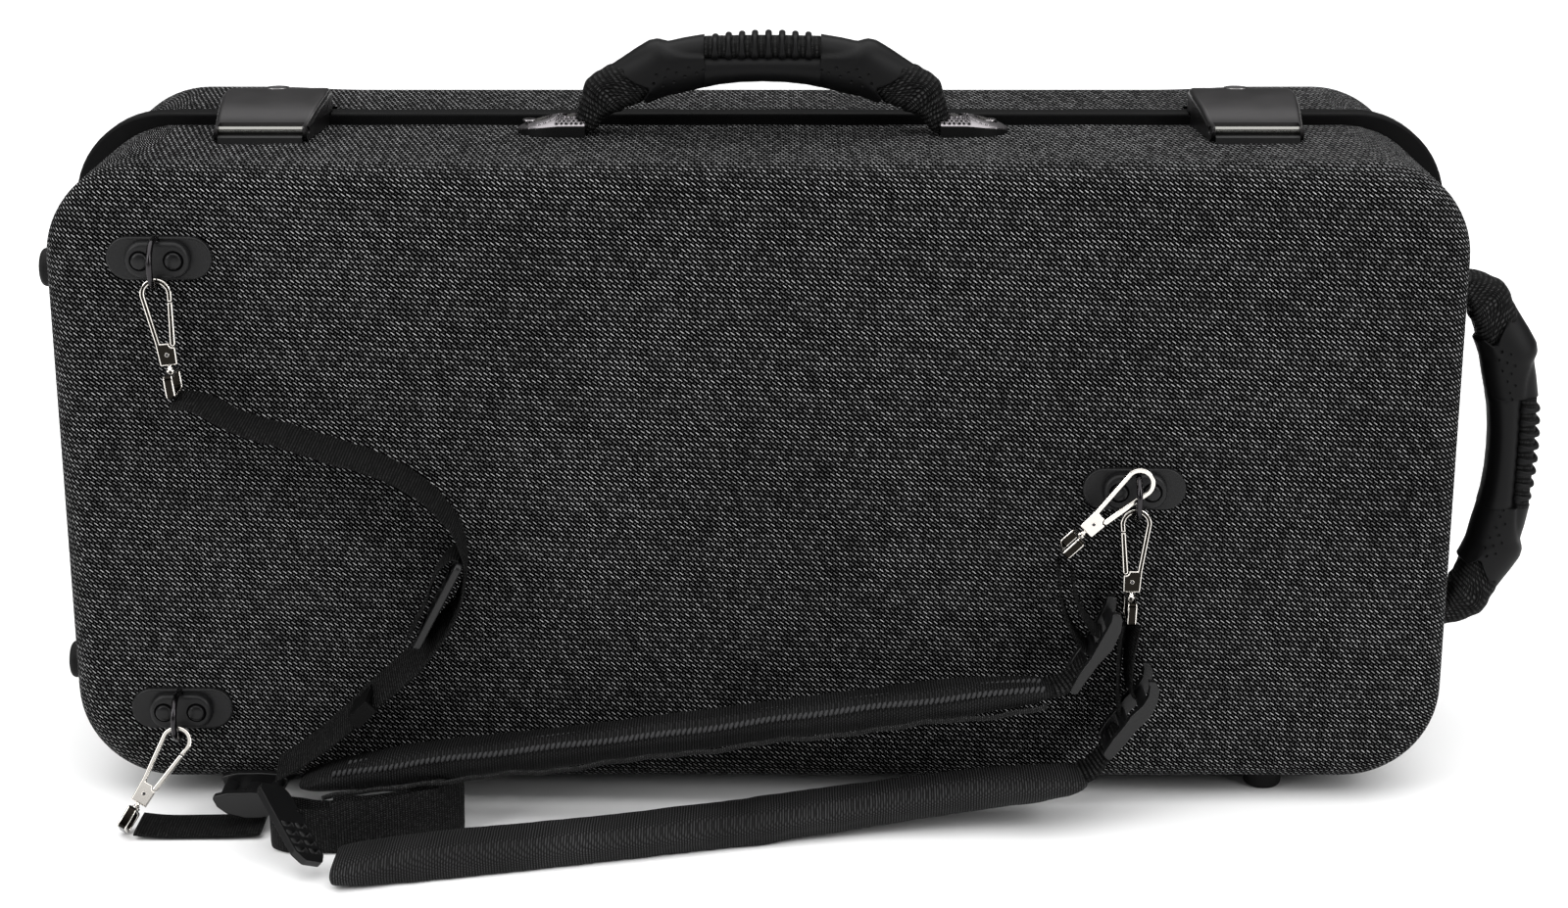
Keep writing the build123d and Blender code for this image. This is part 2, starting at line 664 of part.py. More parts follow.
def hook_gate(base, s):
    with BuildPart() as out:
        with BuildSketch(base.offset(-0.95)):
            with BuildLine():
                Polyline((s * 4.35, -4.2), (s * 6.35, -4.2), (s * 4.1, -22.9), (s * 2.3, -22.9), close=True)
            make_face()
            with Locations((s * GATE_PIVOT[0], GATE_PIVOT[1])):
                Circle(1.05)
        extrude(amount=1.9)
    return out.part


def hook_eye(base):
    across = Plane(origin=base.origin, x_dir=base.z_dir, z_dir=-base.x_dir)
    with BuildPart() as out:
        with BuildSketch(across.offset(-2.2)):
            with Locations((0, -40.6)):
                RectangleRounded(17.0, 10.8, 2.0)
                RectangleRounded(14.0, 7.8, 1.0, mode=Mode.SUBTRACT)
        extrude(amount=4.4)
        with BuildSketch(Plane(origin=base.from_local_coords((0, -35.4, 0)), x_dir=base.x_dir, z_dir=base.y_dir)):
            Circle(0.85)
        extrude(amount=7.0)
        with BuildSketch(Plane(origin=base.from_local_coords((0, -35.3, 0)), x_dir=base.x_dir, z_dir=base.y_dir)):
            Circle(2.0)
        extrude(amount=2.4)
    return out.part


HOOKS = {
    "1": (hook_plane((-262.0, -115.0, 247.0), (-5.5, 0, 45.1), (0, -1, 0)), 1),
    "2": (hook_plane((-265.6, -117.6, 37.7), (0.464, 0.527, 0.709), (0, -0.95, 0.3)), 1),
    "3": (hook_plane((168.7, -118.5, 161.7), (35, 0, 33.7), (0, -1, 0)), 1),
    "4": (hook_plane((168.5, -113.0, 141.0), (1.4, 0, 46), (0, -1, 0)), -1),
}
for name, (base, s) in HOOKS.items():
    save(hook_frame(base, s), "hook_%s_frame" % name)
    save(hook_gate(base, s), "hook_%s_gate" % name)
    save(hook_eye(base), "hook_%s_eye" % name)
    pv = base.from_local_coords((s * GATE_PIVOT[0], GATE_PIVOT[1], 0))
    print("gate pivot", name, [round(v, 3) for v in (pv.X, pv.Y, pv.Z)], "axis", [round(v, 4) for v in (base.z_dir.X, base.z_dir.Y, base.z_dir.Z)])


# ---------------------------------------------------------------- feet
def foot(p, outward):
    """Rubber foot with a domed edge and a sunk screw hole."""
    with BuildPart() as out:
        with BuildSketch(Plane(origin=p, z_dir=outward)):
            Circle(FOOT_R)
        extrude(amount=FOOT_H)
        fillet(out.faces().sort_by(Axis(p, outward))[-1].edges(), 2.4)
        with BuildSketch(Plane(origin=p, z_dir=outward)):
            Circle(1.9)
        extrude(amount=FOOT_H, mode=Mode.SUBTRACT)
        with BuildSketch(Plane(origin=p + Vector(*outward) * 4.0, z_dir=outward)):
            Circle(3.9)
        extrude(amount=FOOT_H, mode=Mode.SUBTRACT)
    return out.part


def foot_screw(p, outward):
    with BuildPart() as out:
        with BuildSketch(Plane(origin=p, z_dir=outward)):
            Circle(1.9)
        extrude(amount=4.0)
        with BuildSketch(Plane(origin=p + Vector(*outward) * 4.0, z_dir=outward)):
            Circle(3.6)
        extrude(amount=2.0)
        fillet(out.faces().sort_by(Axis(p, outward))[-1].edges(), 0.8)
        with BuildSketch(Plane(origin=p + Vector(*outward) * 6.1, z_dir=outward)):
            Rectangle(4.2, 0.9)
            Rectangle(0.9, 4.2)
        extrude(amount=-1.1, mode=Mode.SUBTRACT)
    return out.part


FOOT_X, FOOT_Z = (-237.0, 237.0), (56.0, 246.0)
FEET = {
    "back": [((x, -77.0, Z0), (0, 0, -1)) for x in FOOT_X] + [((-W / 2, -60.0, z), (-1, 0, 0)) for z in FOOT_Z],
    "lid": [((x, 55.0, Z0), (0, 0, -1)) for x in FOOT_X] + [((-W / 2, 45.0, z), (-1, 0, 0)) for z in FOOT_Z],
}
for name, places in FEET.items():
    with BuildPart() as feet:
        for p, out_dir in places:
            add(foot(Vector(*at(*p)), out_dir))
    save(feet.part, "feet_" + name)
    with BuildPart() as screws:
        for p, out_dir in places:
            add(foot_screw(Vector(*at(*p)), out_dir))
    save(screws.part, "foot_screws_" + name)


# ---------------------------------------------------------------- padding inside
FOAM_IN = T_ALL + 0.3
with BuildPart() as foam_insert:
    with BuildSketch(frame_at((0, -11.0, ZM), **XZ_UP)):
        RectangleRounded(W - 2 * FOAM_IN, H - 2 * FOAM_IN, RC - FOAM_IN)
    extrude(amount=DB - FOAM_IN - 11.0)
    fillet(foam_insert.faces().sort_by(Axis.Y)[0].edges(), RE_B - T_ALL)
    # the instrument lies in one well: body tube, bow and bell
    for a, ra, b, rb in (((262, 66), 20, (-205, 62), 35), ((-205, 62), 35, (-205, -34), 46),
                         ((-205, -34), 46, (18, -36), 68)):
        with BuildSketch(frame_at((0, -11.0, ZM), **XZ_UP)):
            with Locations(a):
                Circle(ra)
            with Locations(b):
                Circle(rb)
            make_hull()
        extrude(amount=78, mode=Mode.SUBTRACT)
    # accessory well
    with BuildSketch(frame_at((0, -11.0, ZM), **XZ_UP)):
        with Locations((207, -54)):
            RectangleRounded(166, 124, 14)
    extrude(amount=70, mode=Mode.SUBTRACT)
    rim = foam_insert.faces().sort_by(Axis.Y)[-1].edges()
    chamfer(rim, 1.5)
save(foam_insert.part, "foam_insert")

with BuildPart() as lid_foam:
    with BuildSketch(frame_at((0, 44.0, ZM), **XZ_UP)):
        RectangleRounded(W - 2 * FOAM_IN, H - 2 * FOAM_IN, RC - FOAM_IN)
    extrude(amount=-(DL - T_ALL - 0.3 - 44.0))
    fillet(lid_foam.faces().sort_by(Axis.Y)[0].edges(), 7.0)
    fillet(lid_foam.faces().sort_by(Axis.Y)[-1].edges(), RE_L - T_ALL + 0.5)
save(lid_foam.part, "lid_foam")


# ---------------------------------------------------------------- backpack straps
# The straps lie in front of the back face. Webbing runs are ribbons whose
# width is along Y unless said otherwise.
STRAP_Y = -DB - 15.4         # middle of the webbing that stands against the face


def ribbon(points, width, y_mid=STRAP_Y, thick=WEB_T):
    """Webbing along a curve in the plane of the back face."""
    with BuildPart() as out:
        with BuildSketch(frame_at((0, y_mid, 0), **XZ_UP)):
            with BuildLine():
                Spline(*points)
            trace(line_width=thick)
        extrude(amount=width / 2, both=True)
    return out.part


def floor_ribbon(points, thick=WEB_T, width=WEB_W, z=0.0):
    """Webbing standing on its edge, along a curve on the floor."""
    with BuildPart() as out:
        with BuildSketch(frame_at((0, 0, z), x_dir=(1, 0, 0), z_dir=(0, 0, 1))):
            with BuildLine():
                Spline(*points)
            trace(line_width=thick)
        extrude(amount=width)
    return out.part


def pad(sections):
    """Flat pad through sections (x, y, z, width, thickness, tilt)."""
    with BuildPart() as out:
        for x, y, z, w, t, tilt in sections:
            c, k = cos(radians(tilt)), sin(radians(tilt))
            with BuildSketch(frame_at((x, y, z), x_dir=(0, -c, k), z_dir=(1, 0, 0))):
                RectangleRounded(w, t, min(t * 0.46, w * 0.46))
        loft(ruled=True)
    return out.part


def buckle(centre, along, across, length, width, thick, slots, rise=0.0):
    """Ladder buckle: a plate with cross bars."""
    a, w = Vector(*along).normalized(), Vector(*across)
    w = (w - a * a.dot(w)).normalized()
    base = Plane(origin=at(*centre), x_dir=a, z_dir=a.cross(w))
    with BuildPart() as out:
        with BuildSketch(base.offset(-thick / 2)):
            RectangleRounded(length, width, 3.0)
            with Locations(*[(x, 0) for x in slots]):
                RectangleRounded(4.6, width - 4.0, 1.2, mode=Mode.SUBTRACT)
        extrude(amount=thick)
        fillet(out.edges().filter_by(lambda e: e.length > length * 0.6), min(1.2, thick * 0.35))
    return out.part


A_UPPER = [(-252.6, 198.6), (-243.2, 197.4), (-228.6, 189.5), (-206.5, 182.6), (-183.9, 175.3), (-164.8, 166.7),
           (-149.9, 158.1), (-141.2, 147.6), (-134.1, 136.5), (-131.3, 127.0), (-131.8, 113.8), (-136.6, 100.8),
           (-146.3, 87.6), (-157.6, 76.0), (-172.1, 63.0), (-189.8, 45.5), (-206.0, 33.2), (-221.5, 23.8)]
with BuildPart() as strap_a_webbing:
    add(ribbon(A_UPPER, WEB_W - 0.6))
save(strap_a_webbing.part, "strap_a_webbing")

save(buckle((-142.6, STRAP_Y, 107.5), (-22, 0, -42), (0, 1, 0), 46, 29, 3.6, (-13, 13)), "strap_a_slider")

with BuildPart() as strap_a_keeper:
    kp = frame_at((-178.0, STRAP_Y, 56.9), x_dir=(-0.712, 0, -0.702), z_dir=(0, -1, 0))
    with BuildSketch(kp.offset(-14.3)):
        Rectangle(12, 7.0)
        Rectangle(20, 3.2, mode=Mode.SUBTRACT)
    extrude(amount=28.6)
    with BuildSketch(kp.offset(-14.3)):
        Rectangle(12, 7.0)
    extrude(amount=1.6)
    with BuildSketch(kp.offset(12.7)):
        Rectangle(12, 7.0)
    extrude(amount=1.6)
save(strap_a_keeper.part, "strap_a_keeper")

with BuildPart() as strap_a_ladder_lock:
    with BuildSketch(frame_at((0, -122.0, 0), **XZ_UP)):
        with BuildLine():
            Spline((-250.5, 19.0), (-243.0, 12.6), (-232.0, 10.6), (-221.0, 12.8), (-214.5, 17.0))
        trace(line_width=3.6)
    extrude(amount=14, both=True)
    with BuildSketch(frame_at((0, -122.0, 0), x_dir=(1, 0, 0), z_dir=(0, 0, 1))):
        with Locations((-240.5, 0), (-231.0, 0), (-221.5, 0)):
            RectangleRounded(3.6, 21, 1.2)
    extrude(amount=30, mode=Mode.SUBTRACT)
save(strap_a_ladder_lock.part, "strap_a_ladder_lock")

PAD_A = [(-211.0, -124.5, 21.0, 30, 6, 8), (-206.0, -124.6, 22.3, 36, 10, 8), (-196.0, -124.8, 24.0, 38, 12, 8),
         (-150.0, -125.0, 31.5, 38, 12, 8), (-95.0, -125.0, 37.6, 38, 12, 8), (0.0, -125.0, 50.5, 38, 12, 8),
         (90.0, -125.0, 62.4, 38, 12, 8), (124.0, -125.0, 66.4, 38, 12, 8), (131.0, -124.8, 67.0, 35, 9, 8),
         (134.5, -124.6, 67.2, 29, 5, 8)]
save(pad(PAD_A), "strap_a_pad")
PAD_B = [(-185.5, -180.6, 6.6, 30, 7, 0), (-181.0, -180.0, 6.9, 36, 11, 0), (-172.0, -178.6, 7.0, 38, 13, 0),
         (-118.6, -167.6, 7.0, 38, 13, 0), (-60.0, -154.0, 7.0, 38, 13, 0), (-5.0, -140.0, 7.4, 38, 13, 0),
         (45.0, -130.0, 11.4, 38, 13, 3), (95.0, -126.4, 18.0, 38, 13, 5), (141.0, -125.8, 24.4, 38, 13, 6),
         (148.0, -125.6, 25.3, 35, 9, 6), (151.5, -125.5, 25.7, 29, 5, 6)]
save(pad(PAD_B), "strap_b_pad")

save(buckle((152.2, -122.0, 82.0), (20.5, 0, 40.5), (0, 1, 0), 46, 29, 3.6, (-15, -2, 13)), "strap_a_buckle")
save(buckle((169.5, -122.0, 47.0), (21, 0, 35), (0, 1, 0), 42, 29, 3.6, (-13, -1, 12)), "strap_b_buckle")

with BuildPart() as strap_a_end_loop:
    add(ribbon([(134.0, 124.6), (136.6, 113.0), (141.0, 100.0), (147.0, 88.5)], 14.0, y_mid=-118.5))
    add(ribbon([(140.0, 121.5), (144.5, 112.5), (150.2, 102.0), (153.6, 95.5)], 14.0, y_mid=-118.5))
save(strap_a_end_loop.part, "strap_a_end_loop")
with BuildPart() as strap_b_end_loop:
    add(ribbon([(164.4, 93.2), (163.4, 80.0), (162.8, 66.0), (164.4, 54.0), (166.0, 50.0)], 17.0, y_mid=-113.5))
    add(ribbon([(169.8, 93.2), (168.8, 82.0), (168.6, 68.0), (171.6, 61.0), (174.2, 60.5)], 17.0, y_mid=-113.5))
save(strap_b_end_loop.part, "strap_b_end_loop")

with BuildPart() as strap_b_webbing:
    add(ribbon([(-283.0, 3.2), (-272.0, 1.6), (-255.0, 1.4), (-238.0, 2.0), (-224.0, 3.4)], WEB_W, y_mid=-131.0))
save(strap_b_webbing.part, "strap_b_webbing")

save(buckle((-206.0, -168.5, 19.6), (0.50, -0.72, -0.48), (0.577, 0.69, -0.436), 46, 17, 3.6, (-14, -5, 4, 13)),
     "strap_b_ladder_lock")

with BuildPart() as strap_b_tail:
    add(floor_ribbon([(-190.5, -157.0), (-172.0, -153.5), (-152.0, -144.5), (-139.0, -136.5), (-134.6, -132.0),
                      (-137.5, -129.4), (-150.0, -138.2), (-168.0, -147.4), (-190.0, -149.6)]))
save(strap_b_tail.part, "strap_b_tail")
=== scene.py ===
import math
import bpy
import bmesh
import numpy as np
from mathutils import Matrix, Vector
from mathutils import noise as mnoise


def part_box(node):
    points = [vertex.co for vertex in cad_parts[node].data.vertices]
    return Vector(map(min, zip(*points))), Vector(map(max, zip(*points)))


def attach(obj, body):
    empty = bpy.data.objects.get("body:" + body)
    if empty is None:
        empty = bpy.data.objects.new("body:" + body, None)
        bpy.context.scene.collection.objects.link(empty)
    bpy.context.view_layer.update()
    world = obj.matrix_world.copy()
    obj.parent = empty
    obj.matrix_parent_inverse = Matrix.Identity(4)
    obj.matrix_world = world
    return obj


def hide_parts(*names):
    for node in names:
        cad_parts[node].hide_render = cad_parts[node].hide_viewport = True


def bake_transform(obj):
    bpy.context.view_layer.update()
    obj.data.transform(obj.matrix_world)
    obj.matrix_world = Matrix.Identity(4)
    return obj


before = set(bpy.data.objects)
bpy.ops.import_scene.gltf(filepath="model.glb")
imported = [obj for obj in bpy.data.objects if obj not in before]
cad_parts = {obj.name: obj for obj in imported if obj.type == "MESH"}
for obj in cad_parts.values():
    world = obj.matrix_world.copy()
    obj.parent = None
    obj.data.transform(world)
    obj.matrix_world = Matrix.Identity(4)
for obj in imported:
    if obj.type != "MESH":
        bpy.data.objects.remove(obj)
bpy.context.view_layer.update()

DX, DY = -18.7, 57.0
SCN = bpy.context.scene

# ------------------------------------------------------------------ helpers
# Lengths are millimetres from the case's middle, its parting line and the floor,
# as the pieces are dimensioned; P() turns them into metres in the part's frame.


def P(x, y, z):
    return ((x + DX) / 1000.0, (y + DY) / 1000.0, z / 1000.0)


def arr(points):
    a = np.asarray(points, dtype=float).reshape(-1, 3).copy()
    a[:, 0] += DX
    a[:, 1] += DY
    return a / 1000.0


def smooth01(t):
    t = min(max(t, 0.0), 1.0)
    return t * t * (3 - 2 * t)


def lerp(a, b, t):
    return a + (b - a) * t


def interp(x, table):
    """Piecewise linear value of x in a table of (x, value) pairs."""
    xs = [p[0] for p in table]
    return float(np.interp(x, xs, [p[1] for p in table]))


def spline_pts(points, n):
    """n points spaced evenly along a Catmull-Rom curve through the given points."""
    p = np.asarray(points, float)
    p = np.vstack([2 * p[0] - p[1], p, 2 * p[-1] - p[-2]])
    out = []
    for i in range(1, len(p) - 2):
        a, b, c, d = p[i - 1], p[i], p[i + 1], p[i + 2]
        ta = 0.0
        tb = ta + max(np.linalg.norm(b - a), 1e-6) ** 0.5
        tc = tb + max(np.linalg.norm(c - b), 1e-6) ** 0.5
        td = tc + max(np.linalg.norm(d - c), 1e-6) ** 0.5
        for k in range(24):
            t = tb + (tc - tb) * k / 24.0
            a1 = (tb - t) / (tb - ta) * a + (t - ta) / (tb - ta) * b
            a2 = (tc - t) / (tc - tb) * b + (t - tb) / (tc - tb) * c
            a3 = (td - t) / (td - tc) * c + (t - tc) / (td - tc) * d
            b1 = (tc - t) / (tc - ta) * a1 + (t - ta) / (tc - ta) * a2
            b2 = (td - t) / (td - tb) * a2 + (t - tb) / (td - tb) * a3
            out.append((tc - t) / (tc - tb) * b1 + (t - tb) / (tc - tb) * b2)
    out.append(p[-2])
    out = np.array(out)
    s = np.concatenate([[0], np.cumsum(np.linalg.norm(np.diff(out, axis=0), axis=1))])
    q = np.linspace(0, s[-1], n)
    return np.stack([np.interp(q, s, out[:, k]) for k in range(out.shape[1])], 1)


def path_len(pts):
    return float(np.linalg.norm(np.diff(np.asarray(pts, float), axis=0), axis=1).sum())


def add_mesh(name, verts_mm, faces, mat=None, uv=None, smooth=True, body="root", sharp_deg=None, raw=False):
    """New piece from vertices in millimetres. uv holds one (u, v) per vertex, or per loop."""
    v = np.asarray(verts_mm, float) / 1000.0 if raw else arr(verts_mm)
    me = bpy.data.meshes.new(name)
    me.from_pydata([tuple(p) for p in v], [], [tuple(f) for f in faces])
    if uv is not None:
        layer = me.uv_layers.new(name="flat")
        uv = np.asarray(uv, float)
        idx = np.empty(len(me.loops), dtype=np.int32)
        me.loops.foreach_get("vertex_index", idx)
        data = uv[idx] if len(uv) == len(me.vertices) else uv
        layer.data.foreach_set("uv", data.astype(np.float32).ravel())
    me.validate(clean_customdata=False)
    me.update()
    o = bpy.data.objects.new(name, me)
    bpy.context.collection.objects.link(o)
    for p in me.polygons:
        p.use_smooth = smooth
    if sharp_deg is not None:
        mark_sharp(o, sharp_deg)
    if mat is not None:
        me.materials.append(mat)
    if body is not None:
        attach(o, body)
    return o


def mark_sharp(o, deg):
    me = o.data
    bm = bmesh.new()
    bm.from_mesh(me)
    lim = math.radians(deg)
    for e in bm.edges:
        if len(e.link_faces) == 2:
            e.smooth = e.calc_face_angle(0.0) < lim
    bm.to_mesh(me)
    bm.free()


def fix_normals(o):
    bm = bmesh.new()
    bm.from_mesh(o.data)
    bmesh.ops.recalc_face_normals(bm, faces=bm.faces)
    bm.to_mesh(o.data)
    bm.free()


def apply_mods(o):
    """The piece's modifiers become its mesh."""
    dg = bpy.context.evaluated_depsgraph_get()
    me = bpy.data.meshes.new_from_object(o.evaluated_get(dg), preserve_all_data_layers=True, depsgraph=dg)
    old = o.data
    o.modifiers.clear()
    o.data = me
    bpy.data.meshes.remove(old)


def bevel(o, width_mm, segments=2, angle=30):
    m = o.modifiers.new("bevel", "BEVEL")
    m.width = width_mm / 1000.0
    m.segments = segments
    m.limit_method = "ANGLE"
    m.angle_limit = math.radians(angle)
    m.harden_normals = True
    apply_mods(o)
    return o


def join(name, objs, body=None):
    """One piece from several meshes of one body."""
    bm = bmesh.new()
    mats = []
    for o in objs:
        offset = len(bm.faces)
        base = len(mats)
        mats += list(o.data.materials)
        bm.from_mesh(o.data)
        bm.faces.ensure_lookup_table()
        for f in bm.faces[offset:]:
            f.material_index += base
    me = bpy.data.meshes.new(name)
    bm.to_mesh(me)
    bm.free()
    uniq = []
    remap = []
    for m in mats:
        if m not in uniq:
            uniq.append(m)
        remap.append(uniq.index(m))
    for p in me.polygons:
        p.material_index = remap[p.material_index] if remap else 0
    for m in uniq:
        me.materials.append(m)
    for o in objs:
        old = o.data
        bpy.data.objects.remove(o)
        bpy.data.meshes.remove(old)
    o = bpy.data.objects.new(name, me)
    bpy.context.collection.objects.link(o)
    if body is not None:
        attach(o, body)
    return o


def grid_faces(n_rows, n_cols, wrap_cols=True, wrap_rows=False, flip=False):
    f = []
    cols = n_cols if wrap_cols else n_cols - 1
    rows = n_rows if wrap_rows else n_rows - 1
    for i in range(rows):
        for j in range(cols):
            a = i * n_cols + j
            b = i * n_cols + (j + 1) % n_cols
            c = ((i + 1) % n_rows) * n_cols + (j + 1) % n_cols
            d = ((i + 1) % n_rows) * n_cols + j
            f.append((a, d, c, b) if flip else (a, b, c, d))
    return f


def tube_mesh(name, pts, radius, mat, seg=16, closed=False, body="root", cap=True):
    """Round rod along points, radius a number or one per point."""
    p = np.asarray(pts, float)
    n = len(p)
    rad = np.full(n, float(radius)) if np.isscalar(radius) else np.asarray(radius, float)
    if closed:
        tan = np.roll(p, -1, 0) - np.roll(p, 1, 0)
    else:
        tan = np.gradient(p, axis=0)
    tan /= np.linalg.norm(tan, axis=1)[:, None]
    ref = np.array([0.0, 0.0, 1.0]) if abs(tan[0][2]) < 0.9 else np.array([1.0, 0.0, 0.0])
    nrm = np.cross(tan[0], ref)
    nrm /= np.linalg.norm(nrm)
    verts, uv = [], []
    s = 0.0
    for i in range(n):
        if i:
            nrm = nrm - tan[i] * nrm.dot(tan[i])
            nrm /= np.linalg.norm(nrm)
            s += np.linalg.norm(p[i] - p[i - 1])
        bi = np.cross(tan[i], nrm)
        for k in range(seg):
            a = 2 * math.pi * k / seg
            verts.append(p[i] + rad[i] * (math.cos(a) * nrm + math.sin(a) * bi))
            uv.append((rad[i] * a, s))
    faces = grid_faces(n, seg, wrap_rows=closed)
    if cap and not closed:
        faces.append(tuple(range(seg)))
        faces.append(tuple(reversed(range((n - 1) * seg, n * seg))))
    o = add_mesh(name, verts, faces, mat, uv=uv, body=body, sharp_deg=50)
    fix_normals(o)
    return o


def extrude_poly(name, outline, plane_o, ux, uy, t0, t1, mat, body="root", holes=()):
    """Flat plate: a 2-D outline, with holes, in the plane (origin, ux, uy), between offsets t0 and t1 along its normal."""
    o3, ux, uy = np.asarray(plane_o, float), np.asarray(ux, float), np.asarray(uy, float)
    nz = np.cross(ux, uy)
    bm = bmesh.new()
    loops = [list(outline)] + [list(h) for h in holes]
    edges = []
    for lp in loops:
        vs = [bm.verts.new(tuple(o3 + ux * a + uy * b + nz * t0)) for a, b in lp]
        edges += [bm.edges.new((vs[i], vs[(i + 1) % len(vs)])) for i in range(len(vs))]
    if len(loops) == 1:
        bm.faces.new([e.verts[0] for e in edges])
    else:
        bmesh.ops.triangle_fill(bm, use_beauty=True, use_dissolve=False, edges=edges)
        bmesh.ops.dissolve_limit(bm, angle_limit=0.01, verts=bm.verts, edges=bm.edges)
    ret = bmesh.ops.extrude_face_region(bm, geom=list(bm.faces))
    top = [g for g in ret["geom"] if isinstance(g, bmesh.types.BMVert)]
    bmesh.ops.translate(bm, verts=top, vec=Vector(nz * (t1 - t0)))
    bmesh.ops.recalc_face_normals(bm, faces=bm.faces)
    me = bpy.data.meshes.new(name)
    bm.to_mesh(me)
    bm.free()
    co = np.array([v.co[:] for v in me.vertices])
    co = arr(co)
    me.vertices.foreach_set("co", co.astype(np.float32).ravel())
    me.update()
    ob = bpy.data.objects.new(name, me)
    bpy.context.collection.objects.link(ob)
    for p in me.polygons:
        p.use_smooth = True
    if mat:
        me.materials.append(mat)
    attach(ob, body)
    mark_sharp(ob, 40)
    return ob


def rounded_poly(pts, radii, seg=6):
    """Polygon with rounded corners."""
    out = []
    n = len(pts)
    for i in range(n):
        p0, p1, p2 = (np.asarray(pts[(i + k) % n], float) for k in (-1, 0, 1))
        r = radii if np.isscalar(radii) else radii[i]
        a, b = p0 - p1, p2 - p1
        la, lb = np.linalg.norm(a), np.linalg.norm(b)
        a, b = a / la, b / lb
        ang = math.acos(max(-1, min(1, a.dot(b))))
        if r <= 0 or ang > math.pi - 0.02:
            out.append(tuple(p1))
            continue
        d = min(r / math.tan(ang / 2), la * 0.49, lb * 0.49)
        r2 = d * math.tan(ang / 2)
        c = p1 + (a + b) / np.linalg.norm(a + b) * (r2 / math.sin(ang / 2))
        q0, q1 = p1 + a * d, p1 + b * d
        a0 = math.atan2(*(q0 - c)[::-1])
        a1 = math.atan2(*(q1 - c)[::-1])
        da = (a1 - a0 + math.pi) % (2 * math.pi) - math.pi
        for k in range(seg + 1):
            t = a0 + da * k / seg
            out.append((c[0] + r2 * math.cos(t), c[1] + r2 * math.sin(t)))
    return out


# ------------------------------------------------------------------ materials
class Nodes:
    """Small helper that writes a material's node tree."""

    def __init__(self, name):
        self.m = bpy.data.materials.new(name)
        self.m.use_nodes = True
        self.t = self.m.node_tree
        self.b = self.t.nodes["Principled BSDF"]

    def n(self, kind, **kw):
        nd = self.t.nodes.new(kind)
        for k, v in kw.items():
            setattr(nd, k, v)
        return nd

    def link(self, a, b):
        self.t.links.new(a, b)

    def math(self, op, a, b=None, c=None, clamp=False):
        nd = self.n("ShaderNodeMath", operation=op, use_clamp=clamp)
        for i, v in enumerate((a, b, c)):
            if v is None:
                continue
            if isinstance(v, (int, float)):
                nd.inputs[i].default_value = v
            else:
                self.link(v, nd.inputs[i])
        return nd.outputs[0]

    def ramp(self, fac, stops, interp_kind="LINEAR"):
        nd = self.n("ShaderNodeValToRGB")
        nd.color_ramp.interpolation = interp_kind
        while len(nd.color_ramp.elements) < len(stops):
            nd.color_ramp.elements.new(0.5)
        for e, (pos, col) in zip(nd.color_ramp.elements, stops):
            e.position = pos
            e.color = (*col, 1) if len(col) == 3 else col
        self.link(fac, nd.inputs[0])
        return nd.outputs[0]

    def step(self, x, lo, hi):
        nd = self.n("ShaderNodeMapRange", interpolation_type="SMOOTHSTEP")
        nd.inputs[1].default_value = lo
        nd.inputs[2].default_value = hi
        nd.inputs[3].default_value = 0.0
        nd.inputs[4].default_value = 1.0
        self.link(x, nd.inputs[0])
        return nd.outputs[0]

    def mix(self, fac, a, b):
        nd = self.n("ShaderNodeMix", data_type="RGBA")
        if isinstance(fac, (int, float)):
            nd.inputs[0].default_value = fac
        else:
            self.link(fac, nd.inputs[0])
        for i, v in ((6, a), (7, b)):
            if isinstance(v, tuple):
                nd.inputs[i].default_value = (*v, 1)
            else:
                self.link(v, nd.inputs[i])
        return nd.outputs[2]

    def coords(self):
        return self.n("ShaderNodeTexCoord")

    def obj_noise(self, scale, detail=3.0, rough=0.55):
        tc = self.coords()
        nd = self.n("ShaderNodeTexNoise")
        nd.inputs["Scale"].default_value = scale
        nd.inputs["Detail"].default_value = detail
        nd.inputs["Roughness"].default_value = rough
        self.link(tc.outputs["Object"], nd.inputs["Vector"])
        return nd.outputs["Fac"]

    def bump(self, height, strength, dist_m):
        nd = self.n("ShaderNodeBump")
        nd.inputs["Strength"].default_value = strength
        nd.inputs["Distance"].default_value = dist_m
        self.link(height, nd.inputs["Height"])
        self.link(nd.outputs[0], self.b.inputs["Normal"])
        return nd

    def set(self, **kw):
        names = {"color": "Base Color", "rough": "Roughness", "metal": "Metallic", "coat": "Coat Weight",
                 "coat_rough": "Coat Roughness", "sheen": "Sheen Weight", "sheen_rough": "Sheen Roughness",
                 "spec": "Specular IOR Level", "aniso": "Anisotropic"}
        for k, v in kw.items():
            s = self.b.inputs[names[k]]
            if isinstance(v, (int, float)):
                s.default_value = v
            elif isinstance(v, tuple):
                s.default_value = (*v, 1)
            else:
                self.link(v, s)
        return self


